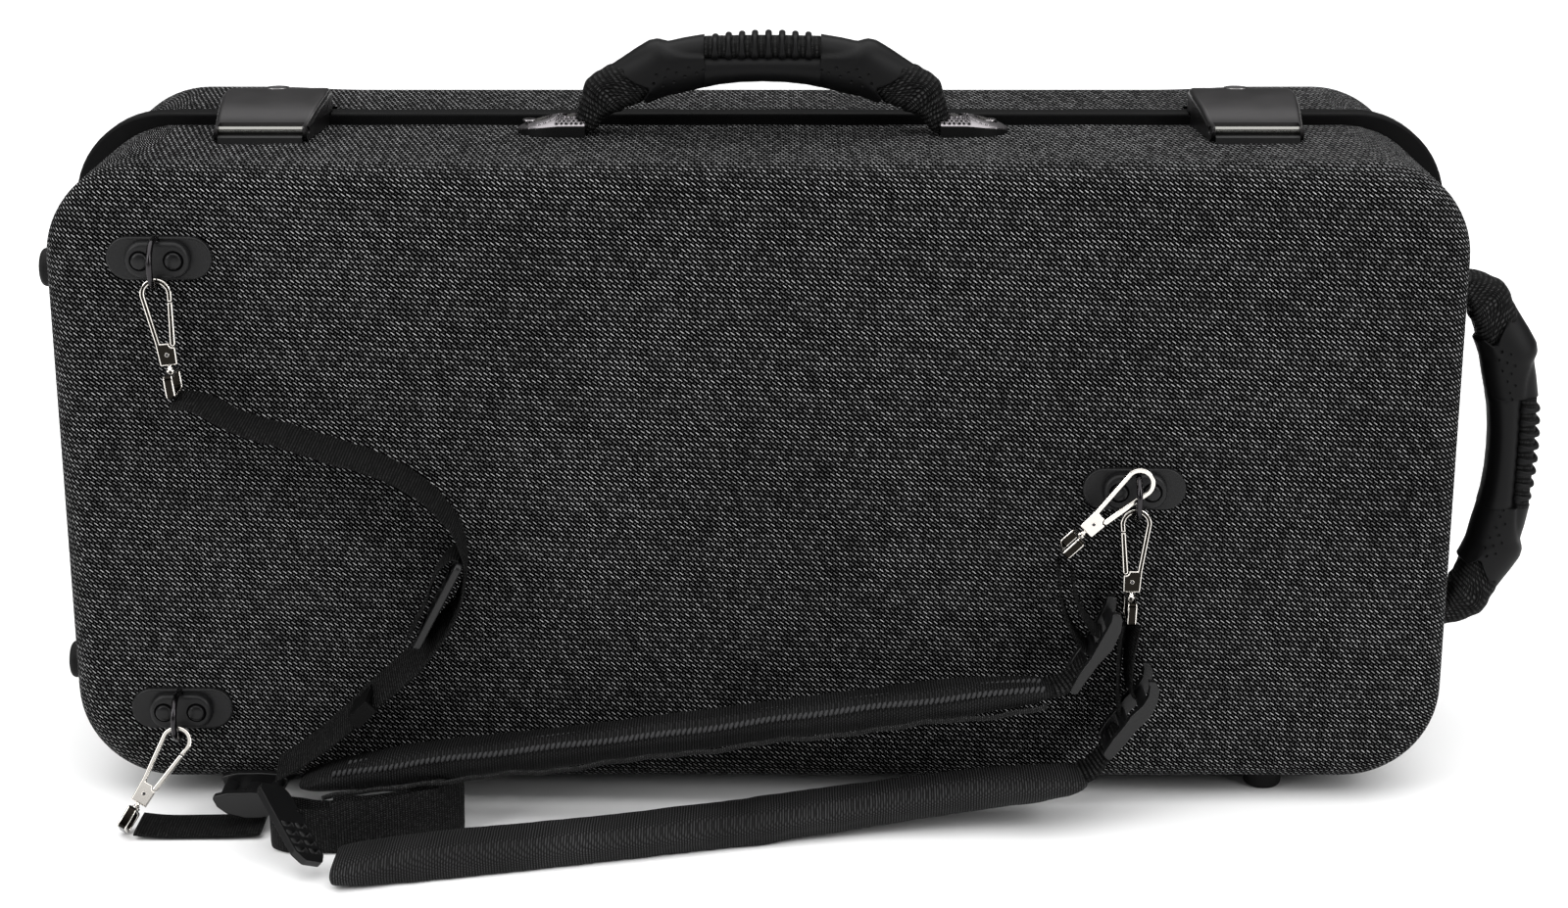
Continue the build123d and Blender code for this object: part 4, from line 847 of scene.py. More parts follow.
def build_grip(name, node, body, place):
    """Moulded rubber grip: a curved bar with raised shoulders, a recess with hoop ribs, and a thin lip at both ends."""
    seg = 72
    phis = [2 * math.pi * k / seg for k in range(seg)]
    half = []
    for t in (0, 5, 10, 15, 20, 24, 26.2, 26.6, 28, 30, 32, 34, 36, 38):
        half.append([grip_point(t, None, a) for a in phis])
    for k in range(0, 19):
        q = k / 18.0
        half.append([grip_point(None, q, a) for a in phis])
    # the lip turns in at the end and runs back inside
    end = [grip_point(None, 1.0, a) for a in phis]
    half.append([(p[0] + 0.5, lerp(p[1], 22.5, 0.03), p[2] * 0.95) for p in end])
    half.append([(p[0] + 0.45, lerp(p[1], 22.5, 0.09), p[2] * 0.87) for p in end])
    for q in (0.96, 0.86, 0.70):
        half.append([grip_point(None, q, a, shrink=1.9) for a in phis])
    rows = [[(S_MID - t, r, w) for t, r, w in row] for row in reversed(half)]
    rows += [[(S_MID + t, r, w) for t, r, w in row] for row in half[1:]]
    verts = [place(*p) for row in rows for p in row]
    faces = grid_faces(len(rows), seg)
    faces.append(tuple(range(seg)))
    faces.append(tuple(range((len(rows) - 1) * seg, len(rows) * seg)))
    skin = add_mesh(name + "_skin", verts, faces, M_RUBBER, body=body)
    fix_normals(skin)
    # small round pits on both sides of each end
    bm = bmesh.new()
    for s, r in GRIP_PITS + [(2 * S_MID - s, r) for s, r in GRIP_PITS]:
        t = abs(s - S_MID)
        top, bot = interp(t, GRIP_TOP), interp(t, GRIP_BOT)
        h = (r - bot) / (top - bot)
        n = 2.5
        sn = math.copysign(abs(2 * h - 1) ** (n / 2), h - 0.5)
        cn = math.sqrt(max(0.0, 1 - sn * sn)) ** (2 / n)
        for sg in (-1, 1):
            w = sg * grip_half_width(t, r) * cn
            c = arr([place(s, r, w + sg * 0.25)])[0]
            bmesh.ops.create_icosphere(bm, subdivisions=2, radius=0.00084, matrix=Matrix.Translation(Vector(c)))
    me = bpy.data.meshes.new("pits")
    bm.to_mesh(me)
    bm.free()
    cut = bpy.data.objects.new("pits", me)
    bpy.context.collection.objects.link(cut)
    md = skin.modifiers.new("pits", "BOOLEAN")
    md.operation = "DIFFERENCE"
    md.solver = "EXACT"
    md.object = cut
    apply_mods(skin)
    bpy.data.objects.remove(cut)
    for p in skin.data.polygons:
        p.use_smooth = True
    mark_sharp(skin, 48)
    # the core seen between the ribs
    core_rows = []
    for s in np.linspace(-24.9, 28.1, 15):
        top = 44.3 - 0.5 * abs((s - S_MID) / 27.0) ** 2
        row = []
        for k in range(28):
            a = 2 * math.pi * k / 28
            sn, cn = math.sin(a), math.cos(a)
            h = 0.5 + 0.5 * math.copysign(abs(sn) ** (2 / 3.4), sn)
            row.append((s, lerp(35.0, top, h), 10.0 * math.copysign(abs(cn) ** (2 / 3.4), cn)))
        core_rows.append(row)
    cv = [place(*p) for row in core_rows for p in row]
    cf = grid_faces(len(core_rows), 28) + [tuple(range(28)), tuple(range(14 * 28, 15 * 28))]
    core_uv = [(6.0 * k, s) for s in np.linspace(-24.9, 28.1, 15) for k in range(28)]
    core = add_mesh(name + "_core", cv, cf, M_WEB_HANDLE, uv=core_uv, body=body)
    fix_normals(core)
    # hoop ribs over the core
    ribs = []
    for s0, r_top in zip(RIB_S, RIB_R):
        path = []
        for k in range(33):
            a = math.pi * k / 32 - math.pi / 2
            sn, cn = math.sin(a), math.cos(a)
            w = math.copysign(abs(sn) ** (2 / 3.2), sn)
            h = abs(cn) ** (2 / 3.2)
            path.append((w, h))
        rv, n_in = [], 8
        for w, h in path:
            r = lerp(36.6, r_top, h)
            wid = lerp(2.05, 1.25, smooth01(min((r - 36.6) / 4.0, 1))) + 0.35 * smooth01((r - r_top + 2.5) / 2.5)
            for j in range(n_in):
                b = 2 * math.pi * j / n_in + math.pi / 8
                ds, dn = wid * math.cos(b) * 1.08, 1.35 * math.sin(b)
                k2 = 1 - 1.3 / 11.3 + dn / 11.3
                rv.append((s0 + ds, lerp(36.6, r - 1.1 + dn, 1.0), 11.35 * w * k2))
        verts_r = [place(*p) for p in rv]
        fr = grid_faces(33, n_in) + [tuple(range(n_in)), tuple(range(32 * n_in, 33 * n_in))]
        rb = add_mesh(name + "_rib", verts_r, fr, M_RUBBER, body=body)
        fix_normals(rb)
        m = rb.modifiers.new("s", "SUBSURF")
        m.levels = 1
        apply_mods(rb)
        ribs.append(rb)
    o = join(name, [skin, core] + ribs, body=body)
    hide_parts(node)
    return o


TOP_PLACE = lambda s, r, w: (s, -24.0 + w, 301.0 + r)
END_PLACE = lambda s, r, w: (315.0 + r, -50.0 + w, 155.5 + s)
build_grip("top_grip", "top_handle_grip", "top_handle", TOP_PLACE)
build_grip("end_grip", "end_handle_grip", "end_handle", END_PLACE)

WEB_TOP = [(46, 38.5), (56, 36.6), (66.5, 32.6), (74.5, 29.6), (80.0, 26.4), (83.4, 21.6), (85.6, 15), (86.9, 9), (88.2, 4.2)]
WEB_BOT = [(40, 23.0), (48, 19.6), (57.5, 14.6), (64.5, 11.6), (69.8, 9.4), (73.4, 8.0), (75.2, 6.0), (76.8, 3.6), (78.8, 1.6)]
WEB_W_H = [8.8, 8.8, 8.8, 9.0, 9.2, 9.4, 9.4, 9.4, 9.4]


def build_handle_webbing(name, node, place, seed):
    """Soft webbing pulled through the grip and down into both brackets, in folds."""
    parts = []
    for side in (-1, 1):
        top = spline_pts(WEB_TOP, 44)
        bot = spline_pts(WEB_BOT, 44)
        wid = spline_pts([(v, i) for i, v in enumerate(WEB_W_H)], 44)[:, 0]
        seg = 48
        verts, uv = [], []
        s_len = 0.0
        prev = None
        for i in range(44):
            c = (top[i] + bot[i]) / 2
            if prev is not None:
                s_len += float(np.linalg.norm(c - prev))
            prev = c
            half = (top[i] - bot[i]) / 2
            hl = float(np.linalg.norm(half))
            for k in range(seg):
                a = 2 * math.pi * k / seg
                sn, cn = math.sin(a), math.cos(a)
                n = 3.4
                h = math.copysign(abs(sn) ** (2 / n), sn)
                w = wid[i] * math.copysign(abs(cn) ** (2 / n), cn)
                # the two layers of webbing part a little along their middle, and wrinkle in the bend
                groove = 0.75 * math.exp(-(h * 3.2) ** 2)
                bend = math.exp(-((i - 27) / 9.0) ** 2)
                wr = 0.55 * bend * math.sin(i * 1.25 + 2.2 * h + seed)
                p = c + half * h * (1 + 0.03 * math.sin(i * 0.7 + seed))
                sx = S_MID + side * (p[0] - S_MID)
                w2 = (w - math.copysign(groove, w) * (abs(cn) > 0.5)) + wr * (0.4 if abs(cn) > 0.5 else 0)
                verts.append(place(sx, p[1] + wr * 0.5 * h, w2))
                uv.append((a * (hl + wid[i]) / 2 * 1.35, s_len))
        faces = grid_faces(44, seg) + [tuple(range(seg)), tuple(range(43 * seg, 44 * seg))]
        o = add_mesh(name + "_side", verts, faces, M_WEB_HANDLE, uv=uv, body=None)
        fix_normals(o)
        parts.append(o)
    o = join(name, parts)
    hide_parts(node)
    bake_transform(o)
    return o


build_handle_webbing("top_grip_webbing", "top_handle_webbing", TOP_PLACE,
                     0.4)
build_handle_webbing("end_grip_webbing", "end_handle_webbing", END_PLACE,
                     2.1)

# ------------------------------------------------------------------ webbing
def webbing_strip(name, path, width, thick, mat, body, w_dir, seed=0.0, wave=0.0, n=None, edge_wave=0.0, ends_round=True):
    """Flat webbing along a path in millimetres. w_dir(i, f, tangent) gives the direction across its width."""
    length = path_len(path)
    n = n or max(12, int(length / 2.4))
    pts = spline_pts(path, n)
    tan = np.gradient(pts, axis=0)
    tan /= np.linalg.norm(tan, axis=1)[:, None]
    cols = 9
    verts, uv = [], []
    s = 0.0
    for i in range(n):
        if i:
            s += float(np.linalg.norm(pts[i] - pts[i - 1]))
        f = i / (n - 1.0)
        w = np.asarray(w_dir(i, f, tan[i]), float)
        w = w - tan[i] * w.dot(tan[i])
        w /= np.linalg.norm(w)
        nrm = np.cross(tan[i], w)
        row = []
        for side in (1, -1):
            for c in range(cols):
                q = (c / (cols - 1.0) - 0.5) * side
                t = thick / 2 * (1 - (abs(q) * 2) ** 6 * 0.55)
                bow = wave * math.sin(s * 0.11 + seed) * (1 - (2 * q) ** 2) + edge_wave * math.sin(s * 0.35 + 5 * q + seed)
                p = pts[i] + w * (q * width) + nrm * (side * t + bow)
                row.append(p)
                uv.append((q * width + side * 40.0, s))
        verts += row
    m = cols * 2
    faces = grid_faces(n, m)
    faces.append(tuple(range(m)))
    faces.append(tuple(range((n - 1) * m, n * m)))
    o = add_mesh(name, verts, faces, mat, uv=uv, body=body, sharp_deg=70)
    fix_normals(o)
    return o, length


def across_y(twist):
    """Width along Y, turned about the path by twist(f) degrees, towards the lower right at the near edge."""
    def f(i, q, t):
        a = math.radians(twist(q))
        y = np.array([0.0, 1.0, 0.0])
        nrm = np.cross(t, y)
        nn = np.linalg.norm(nrm)
        nrm = nrm / nn if nn > 1e-6 else np.array([1.0, 0, 0])
        return y * math.cos(a) + nrm * math.sin(a)
    return f


def flat_strap(name, nodes, path, width, thick, body, w_dir, held="draped", rests=("case_back_cover",), mat=None, extra=(), bend=None, **kw):
    """A flat run of webbing. bend = (body, start, end) in millimetres: when it is given, the run is attached to no body
    and its transform is baked; the body, start and end in it are not read.
    """
    o, length = webbing_strip(name, path, width, thick, mat or M_WEB, None if bend else body, w_dir, **kw)
    if bend:
        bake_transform(o)
    if nodes:
        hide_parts(*nodes)
    return o


YM = -118.4
A_PATH = [(-256.3, YM, 199.6), (-250.0, YM, 199.8), (-243.2, YM, 197.6), (-228.6, YM, 189.7), (-206.5, YM, 182.8),
          (-187.6, YM, 176.4), (-175.9, YM, 172.8), (-164.2, YM, 168.0), (-155.4, YM, 163.0), (-146.7, YM, 156.4),
          (-139.0, YM, 147.8), (-134.2, YM, 140.0), (-131.6, YM, 131.8), (-130.9, YM, 124.0), (-132.2, YM, 113.8),
          (-137.0, YM, 101.8), (-145.8, YM, 89.6), (-154.7, YM, 79.2), (-163.5, YM, 70.6), (-172.8, YM, 62.6),
          (-189.8, YM, 46.4), (-206.0, YM, 33.6), (-219.5, YM, 24.6)]
flat_strap("upper_strap_webbing", ["strap_a_webbing"], A_PATH, 24.0, 1.6, "root",
           across_y(lambda q: interp(q, [(0, 4), (0.25, 10), (0.45, 2), (0.58, -6), (0.70, -19), (0.85, -15), (1, -8)])),
           rests=("case_back_cover", "strap_a_slider"), edge_wave=0.15, bend=("ring_upper", (-243.0, YM, 189.0), (-243.0, YM, 199.0)))
# the returned end of the same webbing, through the slider
flat_strap("upper_strap_return", [], [(-157.5, YM, 90.5), (-152.0, YM, 100.5), (-147.9, YM, 109.5), (-145.2, YM, 118.0),
                                      (-140.6, YM, 125.6), (-135.8, YM, 129.4), (-132.6, YM, 128.4)],
           22.0, 1.5, "root", across_y(lambda q: 0.0), rests=("strap_a_slider",))

flat_strap("lower_strap_webbing", ["strap_b_webbing"],
           [(-282.0, -131.0, 3.0), (-272.0, -131.0, 1.9), (-255.0, -130.6, 1.7), (-238.0, -130.4, 2.1), (-225.0, -130.2, 3.4)],
           24.0, 1.7, "root", across_y(lambda q: 0.0), held="laid", rests=("strap_a_ladder_lock",), wave=0.15,
           bend=("ring_lower", (-232.0, -131.0, 2.0), (-276.0, -131.0, 2.0)))


def up_z(i, q, t):
    return np.array([0.0, 0.0, 1.0])


def tail_w(i, q, t):
    return np.array([0.06, 0.10, 1.0])


flat_strap("lower_strap_tail", ["strap_b_tail"],
           [(-190.0, -149.6, 12.9), (-180.0, -149.9, 12.9), (-168.0, -147.6, 12.9), (-150.0, -138.4, 12.9), (-140.5, -131.0, 12.9),
            (-135.4, -129.2, 12.9), (-134.2, -132.0, 12.9), (-138.4, -136.6, 12.9), (-152.0, -144.7, 12.9),
            (-172.0, -153.6, 12.9), (-186.0, -156.6, 12.9), (-190.3, -157.0, 12.9)],
           24.6, 1.6, "root", up_z, held="folded", rests=("strap_b_pad",), edge_wave=0.12)
flat_strap("lower_strap_fold", [],
           [(-189.4, -149.8, 12.0), (-197.0, -149.2, 12.0), (-205.0, -146.6, 12.0), (-212.5, -145.2, 12.0), (-217.2, -147.4, 12.0), (-217.6, -151.6, 12.0),
            (-213.0, -155.4, 11.6), (-204.0, -157.4, 11.4), (-189.4, -157.2, 11.6)],
           21.5, 1.6, "root", up_z, held="folded", rests=("strap_b_ladder_lock",), edge_wave=0.12)

flat_strap("hook_3_webbing_outer", ["strap_a_end_loop"],
           [(134.0, YM, 124.0), (134.8, YM, 113.1), (136.6, YM, 103.7), (140.0, YM, 95.0), (145.4, YM, 86.6), (149.6, YM, 83.2)],
           13.6, 1.5, "root", across_y(lambda q: 10.0 * q), held="hung", rests=("strap_a_buckle", "hook_3_eye"),
           bend=("ring_right", (140.0, YM, 86.0), (140.0, YM, 121.0)))
flat_strap("hook_3_webbing_inner", [],
           [(140.0, YM, 121.0), (141.0, YM, 113.1), (143.4, YM, 104.4), (147.0, YM, 97.5), (151.4, YM, 92.4), (154.4, YM, 91.0)],
           13.6, 1.5, "root", across_y(lambda q: 8.0 * q), held="hung", rests=("strap_a_buckle", "hook_3_eye"),
           bend=("ring_right", (140.0, YM, 92.0), (140.0, YM, 119.0)))
flat_strap("hook_4_webbing_outer", ["strap_b_end_loop"],
           [(165.2, -113.5, 94.6), (164.0, -113.5, 88.0), (163.4, -113.5, 81.0), (163.2, -113.5, 72.1), (163.0, -113.5, 60.0),
            (164.6, -113.5, 50.0)],
           16.5, 1.6, "root", across_y(lambda q: 16.0 - 10 * q), held="hung", rests=("strap_b_buckle", "hook_4_eye"),
           bend=("ring_right", (164.0, -113.5, 54.0), (164.0, -113.5, 90.0)))
flat_strap("hook_4_webbing_inner", [],
           [(169.4, -113.5, 94.2), (168.6, -113.5, 88.0), (167.6, -113.5, 81.0), (167.4, -113.5, 70.0), (168.6, -113.5, 61.0),
            (171.6, -113.5, 58.6)],
           16.5, 1.6, "root", across_y(lambda q: -12.0 + 8 * q), held="hung", rests=("strap_b_buckle", "hook_4_eye"),
           bend=("ring_right", (168.0, -113.5, 60.0), (168.0, -113.5, 90.0)))


# ------------------------------------------------------------------ buckles seen from their edge
def profile_buckle(name, node, prof, y0, y1, bars, rail=4.2, mat=None, body="root"):
    """Moulded buckle: two side rails with the given profile in x and z, joined by cross bars (x, z, radius)."""
    parts = []
    outline = rounded_poly(prof, 1.6, 4)
    for a, b in ((y0, y0 + rail), (y1 - rail, y1)):
        r = extrude_poly(name + "_rail", outline, (0, a, 0), (1, 0, 0), (0, 0, 1), 0.0, -(b - a), mat or M_STRAPPLASTIC, body)
        bevel(r, 0.7, 2)
        parts.append(r)
    for (x, z, rx, rz, ang) in bars:
        pts = []
        for k in range(16):
            t = 2 * math.pi * k / 16
            u, v = rx * math.copysign(abs(math.cos(t)) ** 0.7, math.cos(t)), rz * math.copysign(abs(math.sin(t)) ** 0.7, math.sin(t))
            c, s = math.cos(math.radians(ang)), math.sin(math.radians(ang))
            pts.append((x + u * c - v * s, z + u * s + v * c))
        parts.append(extrude_poly(name + "_bar", pts, (0, y0 + 2, 0), (1, 0, 0), (0, 0, 1), 0.0, -(y1 - y0 - 4), mat or M_STRAPPLASTIC, body))
    o = join(name, parts, body=body)
    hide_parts(node)
    return o


B3 = [(175.0, 75.2), (177.4, 73.4), (179.0, 69.8), (178.2, 64.1), (175.5, 57.2), (169.0, 50.4), (163.4, 42.6), (157.6, 35.6),
      (154.6, 39.1), (158.6, 45.8), (163.7, 52.7), (166.4, 57.2), (171.6, 62.5), (174.2, 67.3), (174.6, 71.7), (173.8, 74.4)]
A2 = [(158.2, 107.8), (160.6, 106.6), (161.3, 103.0), (160.9, 98.0), (157.3, 89.1), (151.2, 82.0), (146.5, 75.0), (141.7, 67.0),
      (138.8, 69.6), (143.3, 78.5), (147.6, 84.8), (149.6, 89.1), (154.3, 98.3), (156.4, 103.2), (156.8, 106.4)]
profile_buckle("lower_strap_buckle", "strap_b_buckle", [(x, min(z, 74.0)) for x, z in B3], -136.0, -108.4,
               [(172.6, 60.5, 2.6, 1.6, 50), (164.6, 50.4, 2.4, 1.5, 52), (157.6, 39.6, 2.2, 1.5, 55)])
profile_buckle("upper_strap_buckle", "strap_a_buckle", [(x, min(z, 106.0)) for x, z in A2], -136.0, -108.4,
               [(157.2, 97.6, 2.6, 1.6, 58), (149.6, 85.6, 2.3, 1.5, 52), (142.0, 72.4, 2.2, 1.5, 55)])
LOCK_A = [(-247.6, 26.4), (-240.2, 28.2), (-228.8, 28.4), (-220.0, 27.8), (-216.0, 24.5), (-219.4, 17.8), (-225.7, 15.9), (-231.8, 15.7),
          (-240.8, 18.0), (-245.2, 21.4)]
LOCK_A = [(x, z - 8.2) for x, z in LOCK_A]
profile_buckle("upper_strap_ladder_lock", "strap_a_ladder_lock", LOCK_A, -135.6, -108.6,
               [(-242.0, 14.6, 3.2, 2.2, -20), (-231.0, 13.6, 3.6, 2.6, 0), (-221.0, 14.8, 3.0, 2.2, 20)])


def oriented_plate(name, node, centre, along, across, length, width, thick, slots, body="root", mat=None, dome=0.8):
    """Ladder lock: a flat plate with pairs of slots, its upper end solid."""
    a = np.asarray(along, float); a /= np.linalg.norm(a)
    w = np.asarray(across, float); w = w - a * a.dot(w); w /= np.linalg.norm(w)
    holes = []
    for s in slots:
        for q in (-1, 1):
            cx, cy = s, q * width * 0.235
            hw, hh = 1.55, width * 0.19
            holes.append(rounded_poly([(cx - hw, cy - hh), (cx + hw, cy - hh), (cx + hw, cy + hh), (cx - hw, cy + hh)], 0.8, 3))
    outline = rounded_poly([(-length / 2, -width * 0.36), (-length / 2 + 4, -width / 2), (length / 2 - 5, -width / 2),
                            (length / 2, -width * 0.30), (length / 2, width * 0.30), (length / 2 - 5, width / 2),
                            (-length / 2 + 4, width / 2), (-length / 2, width * 0.36)], 2.4, 4)
    o = extrude_poly(name, outline, centre, a, w, -thick / 2, thick / 2, mat or M_STRAPPLASTIC, body, holes)
    bevel(o, 0.6, 2)
    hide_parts(node)
    return o


oriented_plate("lower_strap_ladder_lock", "strap_b_ladder_lock", (-206.0, -168.5, 19.6), (0.50, -0.72, -0.48),
               (0.577, 0.69, -0.436), 46, 17.6, 3.2, (1.5, 6.6, 11.7, 16.6))


# ------------------------------------------------------------------ shoulder pads
def pad_frame(sections):
    """Dense sections (x, y, z, width, thickness, tilt) along a pad."""
    a = np.asarray(sections, float)
    s = np.concatenate([[0], np.cumsum(np.linalg.norm(np.diff(a[:, :3], axis=0), axis=1))])
    q = np.linspace(0, s[-1], int(s[-1] / 2.2))
    return np.stack([np.interp(q, s, a[:, k]) for k in range(6)], 1), q


def build_pad(name, node, sections, mat, shrink, cap_mm, seed):
    """Foam pad in its fabric sleeve: the sleeve is inflated as cloth, then it wrinkles a little along its lower edge."""
    sec, q = pad_frame(sections)
    seg = 28
    verts = []
    for x, y, z, w, t, tilt in sec:
        c, k = math.cos(math.radians(tilt)), math.sin(math.radians(tilt))
        for j in range(seg):
            a = 2 * math.pi * j / seg
            n = 3.0
            u = (w / 2 - shrink) * math.copysign(abs(math.cos(a)) ** (2 / n), math.cos(a))
            v = (t / 2 - shrink) * math.copysign(abs(math.sin(a)) ** (2 / n), math.sin(a))
            verts.append((x, y - u * c - v * k * 0.0, z + u * k + v))
    faces = grid_faces(len(sec), seg) + [tuple(range(seg)), tuple(range((len(sec) - 1) * seg, len(sec) * seg))]
    o = add_mesh(name, verts, faces, mat, body=None)
    fix_normals(o)
    m = o.modifiers.new("remesh", "REMESH")
    m.mode = "VOXEL"
    m.voxel_size = 0.0031
    apply_mods(o)
    start = np.array([v.co[:] for v in o.data.vertices])
    cl = o.modifiers.new("cloth", "CLOTH")
    st = cl.settings
    st.quality = 4
    st.mass = 0.15
    st.use_pressure = True
    st.uniform_pressure_force = 4.0
    st.tension_stiffness = st.compression_stiffness = 25.0
    st.shear_stiffness = 8.0
    st.bending_stiffness = 0.6
    st.effector_weights.gravity = 0.0
    cl.collision_settings.use_collision = False
    cl.point_cache.frame_start, cl.point_cache.frame_end = 1, 20
    for f in range(1, 21):
        SCN.frame_set(f)
    apply_mods(o)
    SCN.frame_set(1)
    now = np.array([v.co[:] for v in o.data.vertices])
    mv = now - start
    d = np.linalg.norm(mv, axis=1)
    mv *= np.minimum(1.0, (cap_mm / 1000.0) / np.maximum(d, 1e-9))[:, None]
    now = start + mv
    o.data.vertices.foreach_set("co", now.astype(np.float32).ravel())
    m = o.modifiers.new("smooth", "SUBSURF")
    m.levels = 1
    apply_mods(o)
    # wrinkles: long soft dents, and short ones where the near lower edge is seamed
    co = np.array([v.co[:] for v in o.data.vertices])
    nr = np.array([v.normal[:] for v in o.data.vertices])
    mid = np.stack([np.interp(co[:, 0], (sec[:, 0] + DX) / 1000, (sec[:, k] + (DY if k == 1 else 0)) / 1000) for k in (1, 2)], 1)
    low = np.clip((mid[:, 1] - co[:, 2]) / 0.006, -1, 1)
    near = np.clip((mid[:, 0] - co[:, 1]) / 0.019, -1, 1)
    amp = np.zeros(len(co))
    for i, c in enumerate(co):
        v = Vector((c[0] * 34 + seed, c[1] * 60, c[2] * 60))
        w1 = mnoise.noise(v) * 0.55
        v2 = Vector((c[0] * 120 + seed * 3, c[1] * 40, c[2] * 40))
        w2 = mnoise.noise(v2) * (0.25 + 0.75 * max(0.0, low[i]) * max(0.0, near[i]))
        amp[i] = w1 * 0.7 + w2 * 0.75
    co = co + nr * (amp[:, None] * 0.00075 - 0.0001)
    lo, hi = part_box(node)
    co[:, 2] = np.maximum(co[:, 2], max(lo[2], 0.0003))
    o.data.vertices.foreach_set("co", co.astype(np.float32).ravel())
    for p in o.data.polygons:
        p.use_smooth = True
    o.data.update()
    o.data.materials.clear()
    o.data.materials.append(mat)
    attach(o, "root")
    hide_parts(node)
    return o


def mat_pad(name, pitch, base, hi, cross=1.35):
    """Ribbed sleeve fabric: fine ribs across the pad, broken up by the weft, whose place comes from the pad's own length."""
    k = Nodes(name)
    tc = k.coords()
    sep = k.n("ShaderNodeSeparateXYZ")
    k.link(tc.outputs["Object"], sep.inputs[0])
    n = k.obj_noise(70.0, 3.0)
    wob = k.math("MULTIPLY", k.math("SUBTRACT", n, 0.5), 0.9)
    u = k.math("ADD", k.math("MULTIPLY", sep.outputs[0], 1000.0 / pitch), wob)
    v = k.math("MULTIPLY", k.math("SUBTRACT", sep.outputs[2], k.math("MULTIPLY", sep.outputs[1], 0.8)), 1000.0 / cross)
    col_i = k.math("FLOOR", u)
    fu = k.math("SUBTRACT", k.math("FRACT", u), 0.5)
    vv = k.math("ADD", v, k.math("MULTIPLY", col_i, 0.5))
    fv = k.math("SUBTRACT", k.math("FRACT", vv), 0.5)
    d = k.math("SQRT", k.math("ADD", k.math("POWER", k.math("MULTIPLY", fu, 2.3), 2.0),
                              k.math("POWER", k.math("MULTIPLY", fv, 1.25), 2.0)))
    m = k.n("ShaderNodeMapRange", interpolation_type="SMOOTHSTEP")
    m.inputs[1].default_value = 1.1
    m.inputs[2].default_value = 0.2
    k.link(d, m.inputs[0])
    shade = k.math("MULTIPLY", m.outputs[0], k.math("ADD", k.math("MULTIPLY", k.obj_noise(25.0, 3.0), 0.8), 0.5))
    col = k.ramp(shade, [(0.0, (base * 0.3,) * 3), (0.5, (base,) * 3), (1.0, (hi, hi, hi * 1.03))])
    k.set(color=col, rough=0.68, spec=0.10)
    k.bump(m.outputs[0], 0.8, 0.0004)
    return k.m


M_PAD_A = mat_pad("pad_fabric_a", 1.25, 0.004, 0.020)
M_PAD_B = mat_pad("pad_fabric_b", 1.20, 0.009, 0.042)
PAD_A = [(-209.5, -124.6, 21.6, 27, 4, 8), (-206.0, -124.6, 22.3, 34, 8, 8), (-196.0, -124.8, 24.0, 37, 11, 8),
         (-150.0, -125.0, 31.5, 37, 11.5, 8), (-95.0, -125.0, 37.6, 37, 11.5, 8), (0.0, -125.0, 50.5, 37, 11.5, 8),
         (90.0, -125.0, 62.4, 37, 11.5, 8), (122.0, -125.0, 66.2, 37, 11, 8), (130.0, -124.8, 66.9, 33, 8, 8),
         (133.4, -124.6, 67.1, 26, 4, 8)]
PAD_B = [(-187.0, -180.7, 6.9, 35, 11.5, 0), (-184.0, -180.3, 7.0, 37, 12.4, 0), (-172.0, -178.6, 7.0, 37, 12.8, 0),
         (-118.6, -167.6, 7.0, 37, 12.4, 0), (-60.0, -154.0, 7.0, 37, 12.4, 0), (-5.0, -140.0, 7.4, 37, 12.4, 0),
         (45.0, -130.0, 11.4, 37, 12.4, 3), (95.0, -126.4, 18.0, 37, 12.4, 5), (140.0, -125.8, 24.3, 37, 12, 6),
         (147.0, -125.6, 25.2, 33, 8, 6), (150.4, -125.5, 25.6, 26, 4, 6)]
build_pad("upper_strap_pad", "strap_a_pad", PAD_A, M_PAD_A, 0.9, 3.0, 1.7)
build_pad("lower_strap_pad", "strap_b_pad", PAD_B, M_PAD_B, 0.9, 3.0, 5.3)


def stitched_rim(name, path_fn, x0, x1, pitch, size, lean, mat, body="root"):
    """Row of slanting bulges along a pad's edge, as an overlocked seam shows them."""
    n_st = int((x1 - x0) / pitch)
    bm = bmesh.new()
    for i in range(n_st):
        x = x0 + (i + 0.5) * pitch
        p0, up, out = path_fn(x)
        t = path_fn(x + 1.0)[0] - p0
        t /= np.linalg.norm(t)
        up = up / np.linalg.norm(up)
        ax = up * 1.0 + t * lean
        ax /= np.linalg.norm(ax)
        out = out - ax * ax.dot(out)
        out /= np.linalg.norm(out)
        cr = np.cross(ax, out)
        c = arr([p0])[0]
        M = Matrix((
            (cr[0] * size[1], out[0] * size[2], ax[0] * size[0], c[0] * 1000),
            (cr[1] * size[1], out[1] * size[2], ax[1] * size[0], c[1] * 1000),
            (cr[2] * size[1], out[2] * size[2], ax[2] * size[0], c[2] * 1000),
            (0, 0, 0, 1000.0))) * 0.001
        M[3][3] = 1.0
        bmesh.ops.create_icosphere(bm, subdivisions=2, radius=1.0, matrix=M)
    me = bpy.data.meshes.new(name)
    bm.to_mesh(me)
    bm.free()
    o = bpy.data.objects.new(name, me)
    bpy.context.collection.objects.link(o)
    for p in me.polygons:
        p.use_smooth = True
    me.materials.append(mat)
    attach(o, body)
    return o


M_SEAM = mat_plain("seam_thread", (0.030, 0.030, 0.031), 0.6, spec=0.12, grain=2500.0, bump_mm=0.08)
M_PIPING = mat_webbing("pad_piping", rib=1.0, yarn=1.0, base=0.010, hi=0.05, strength=0.7)


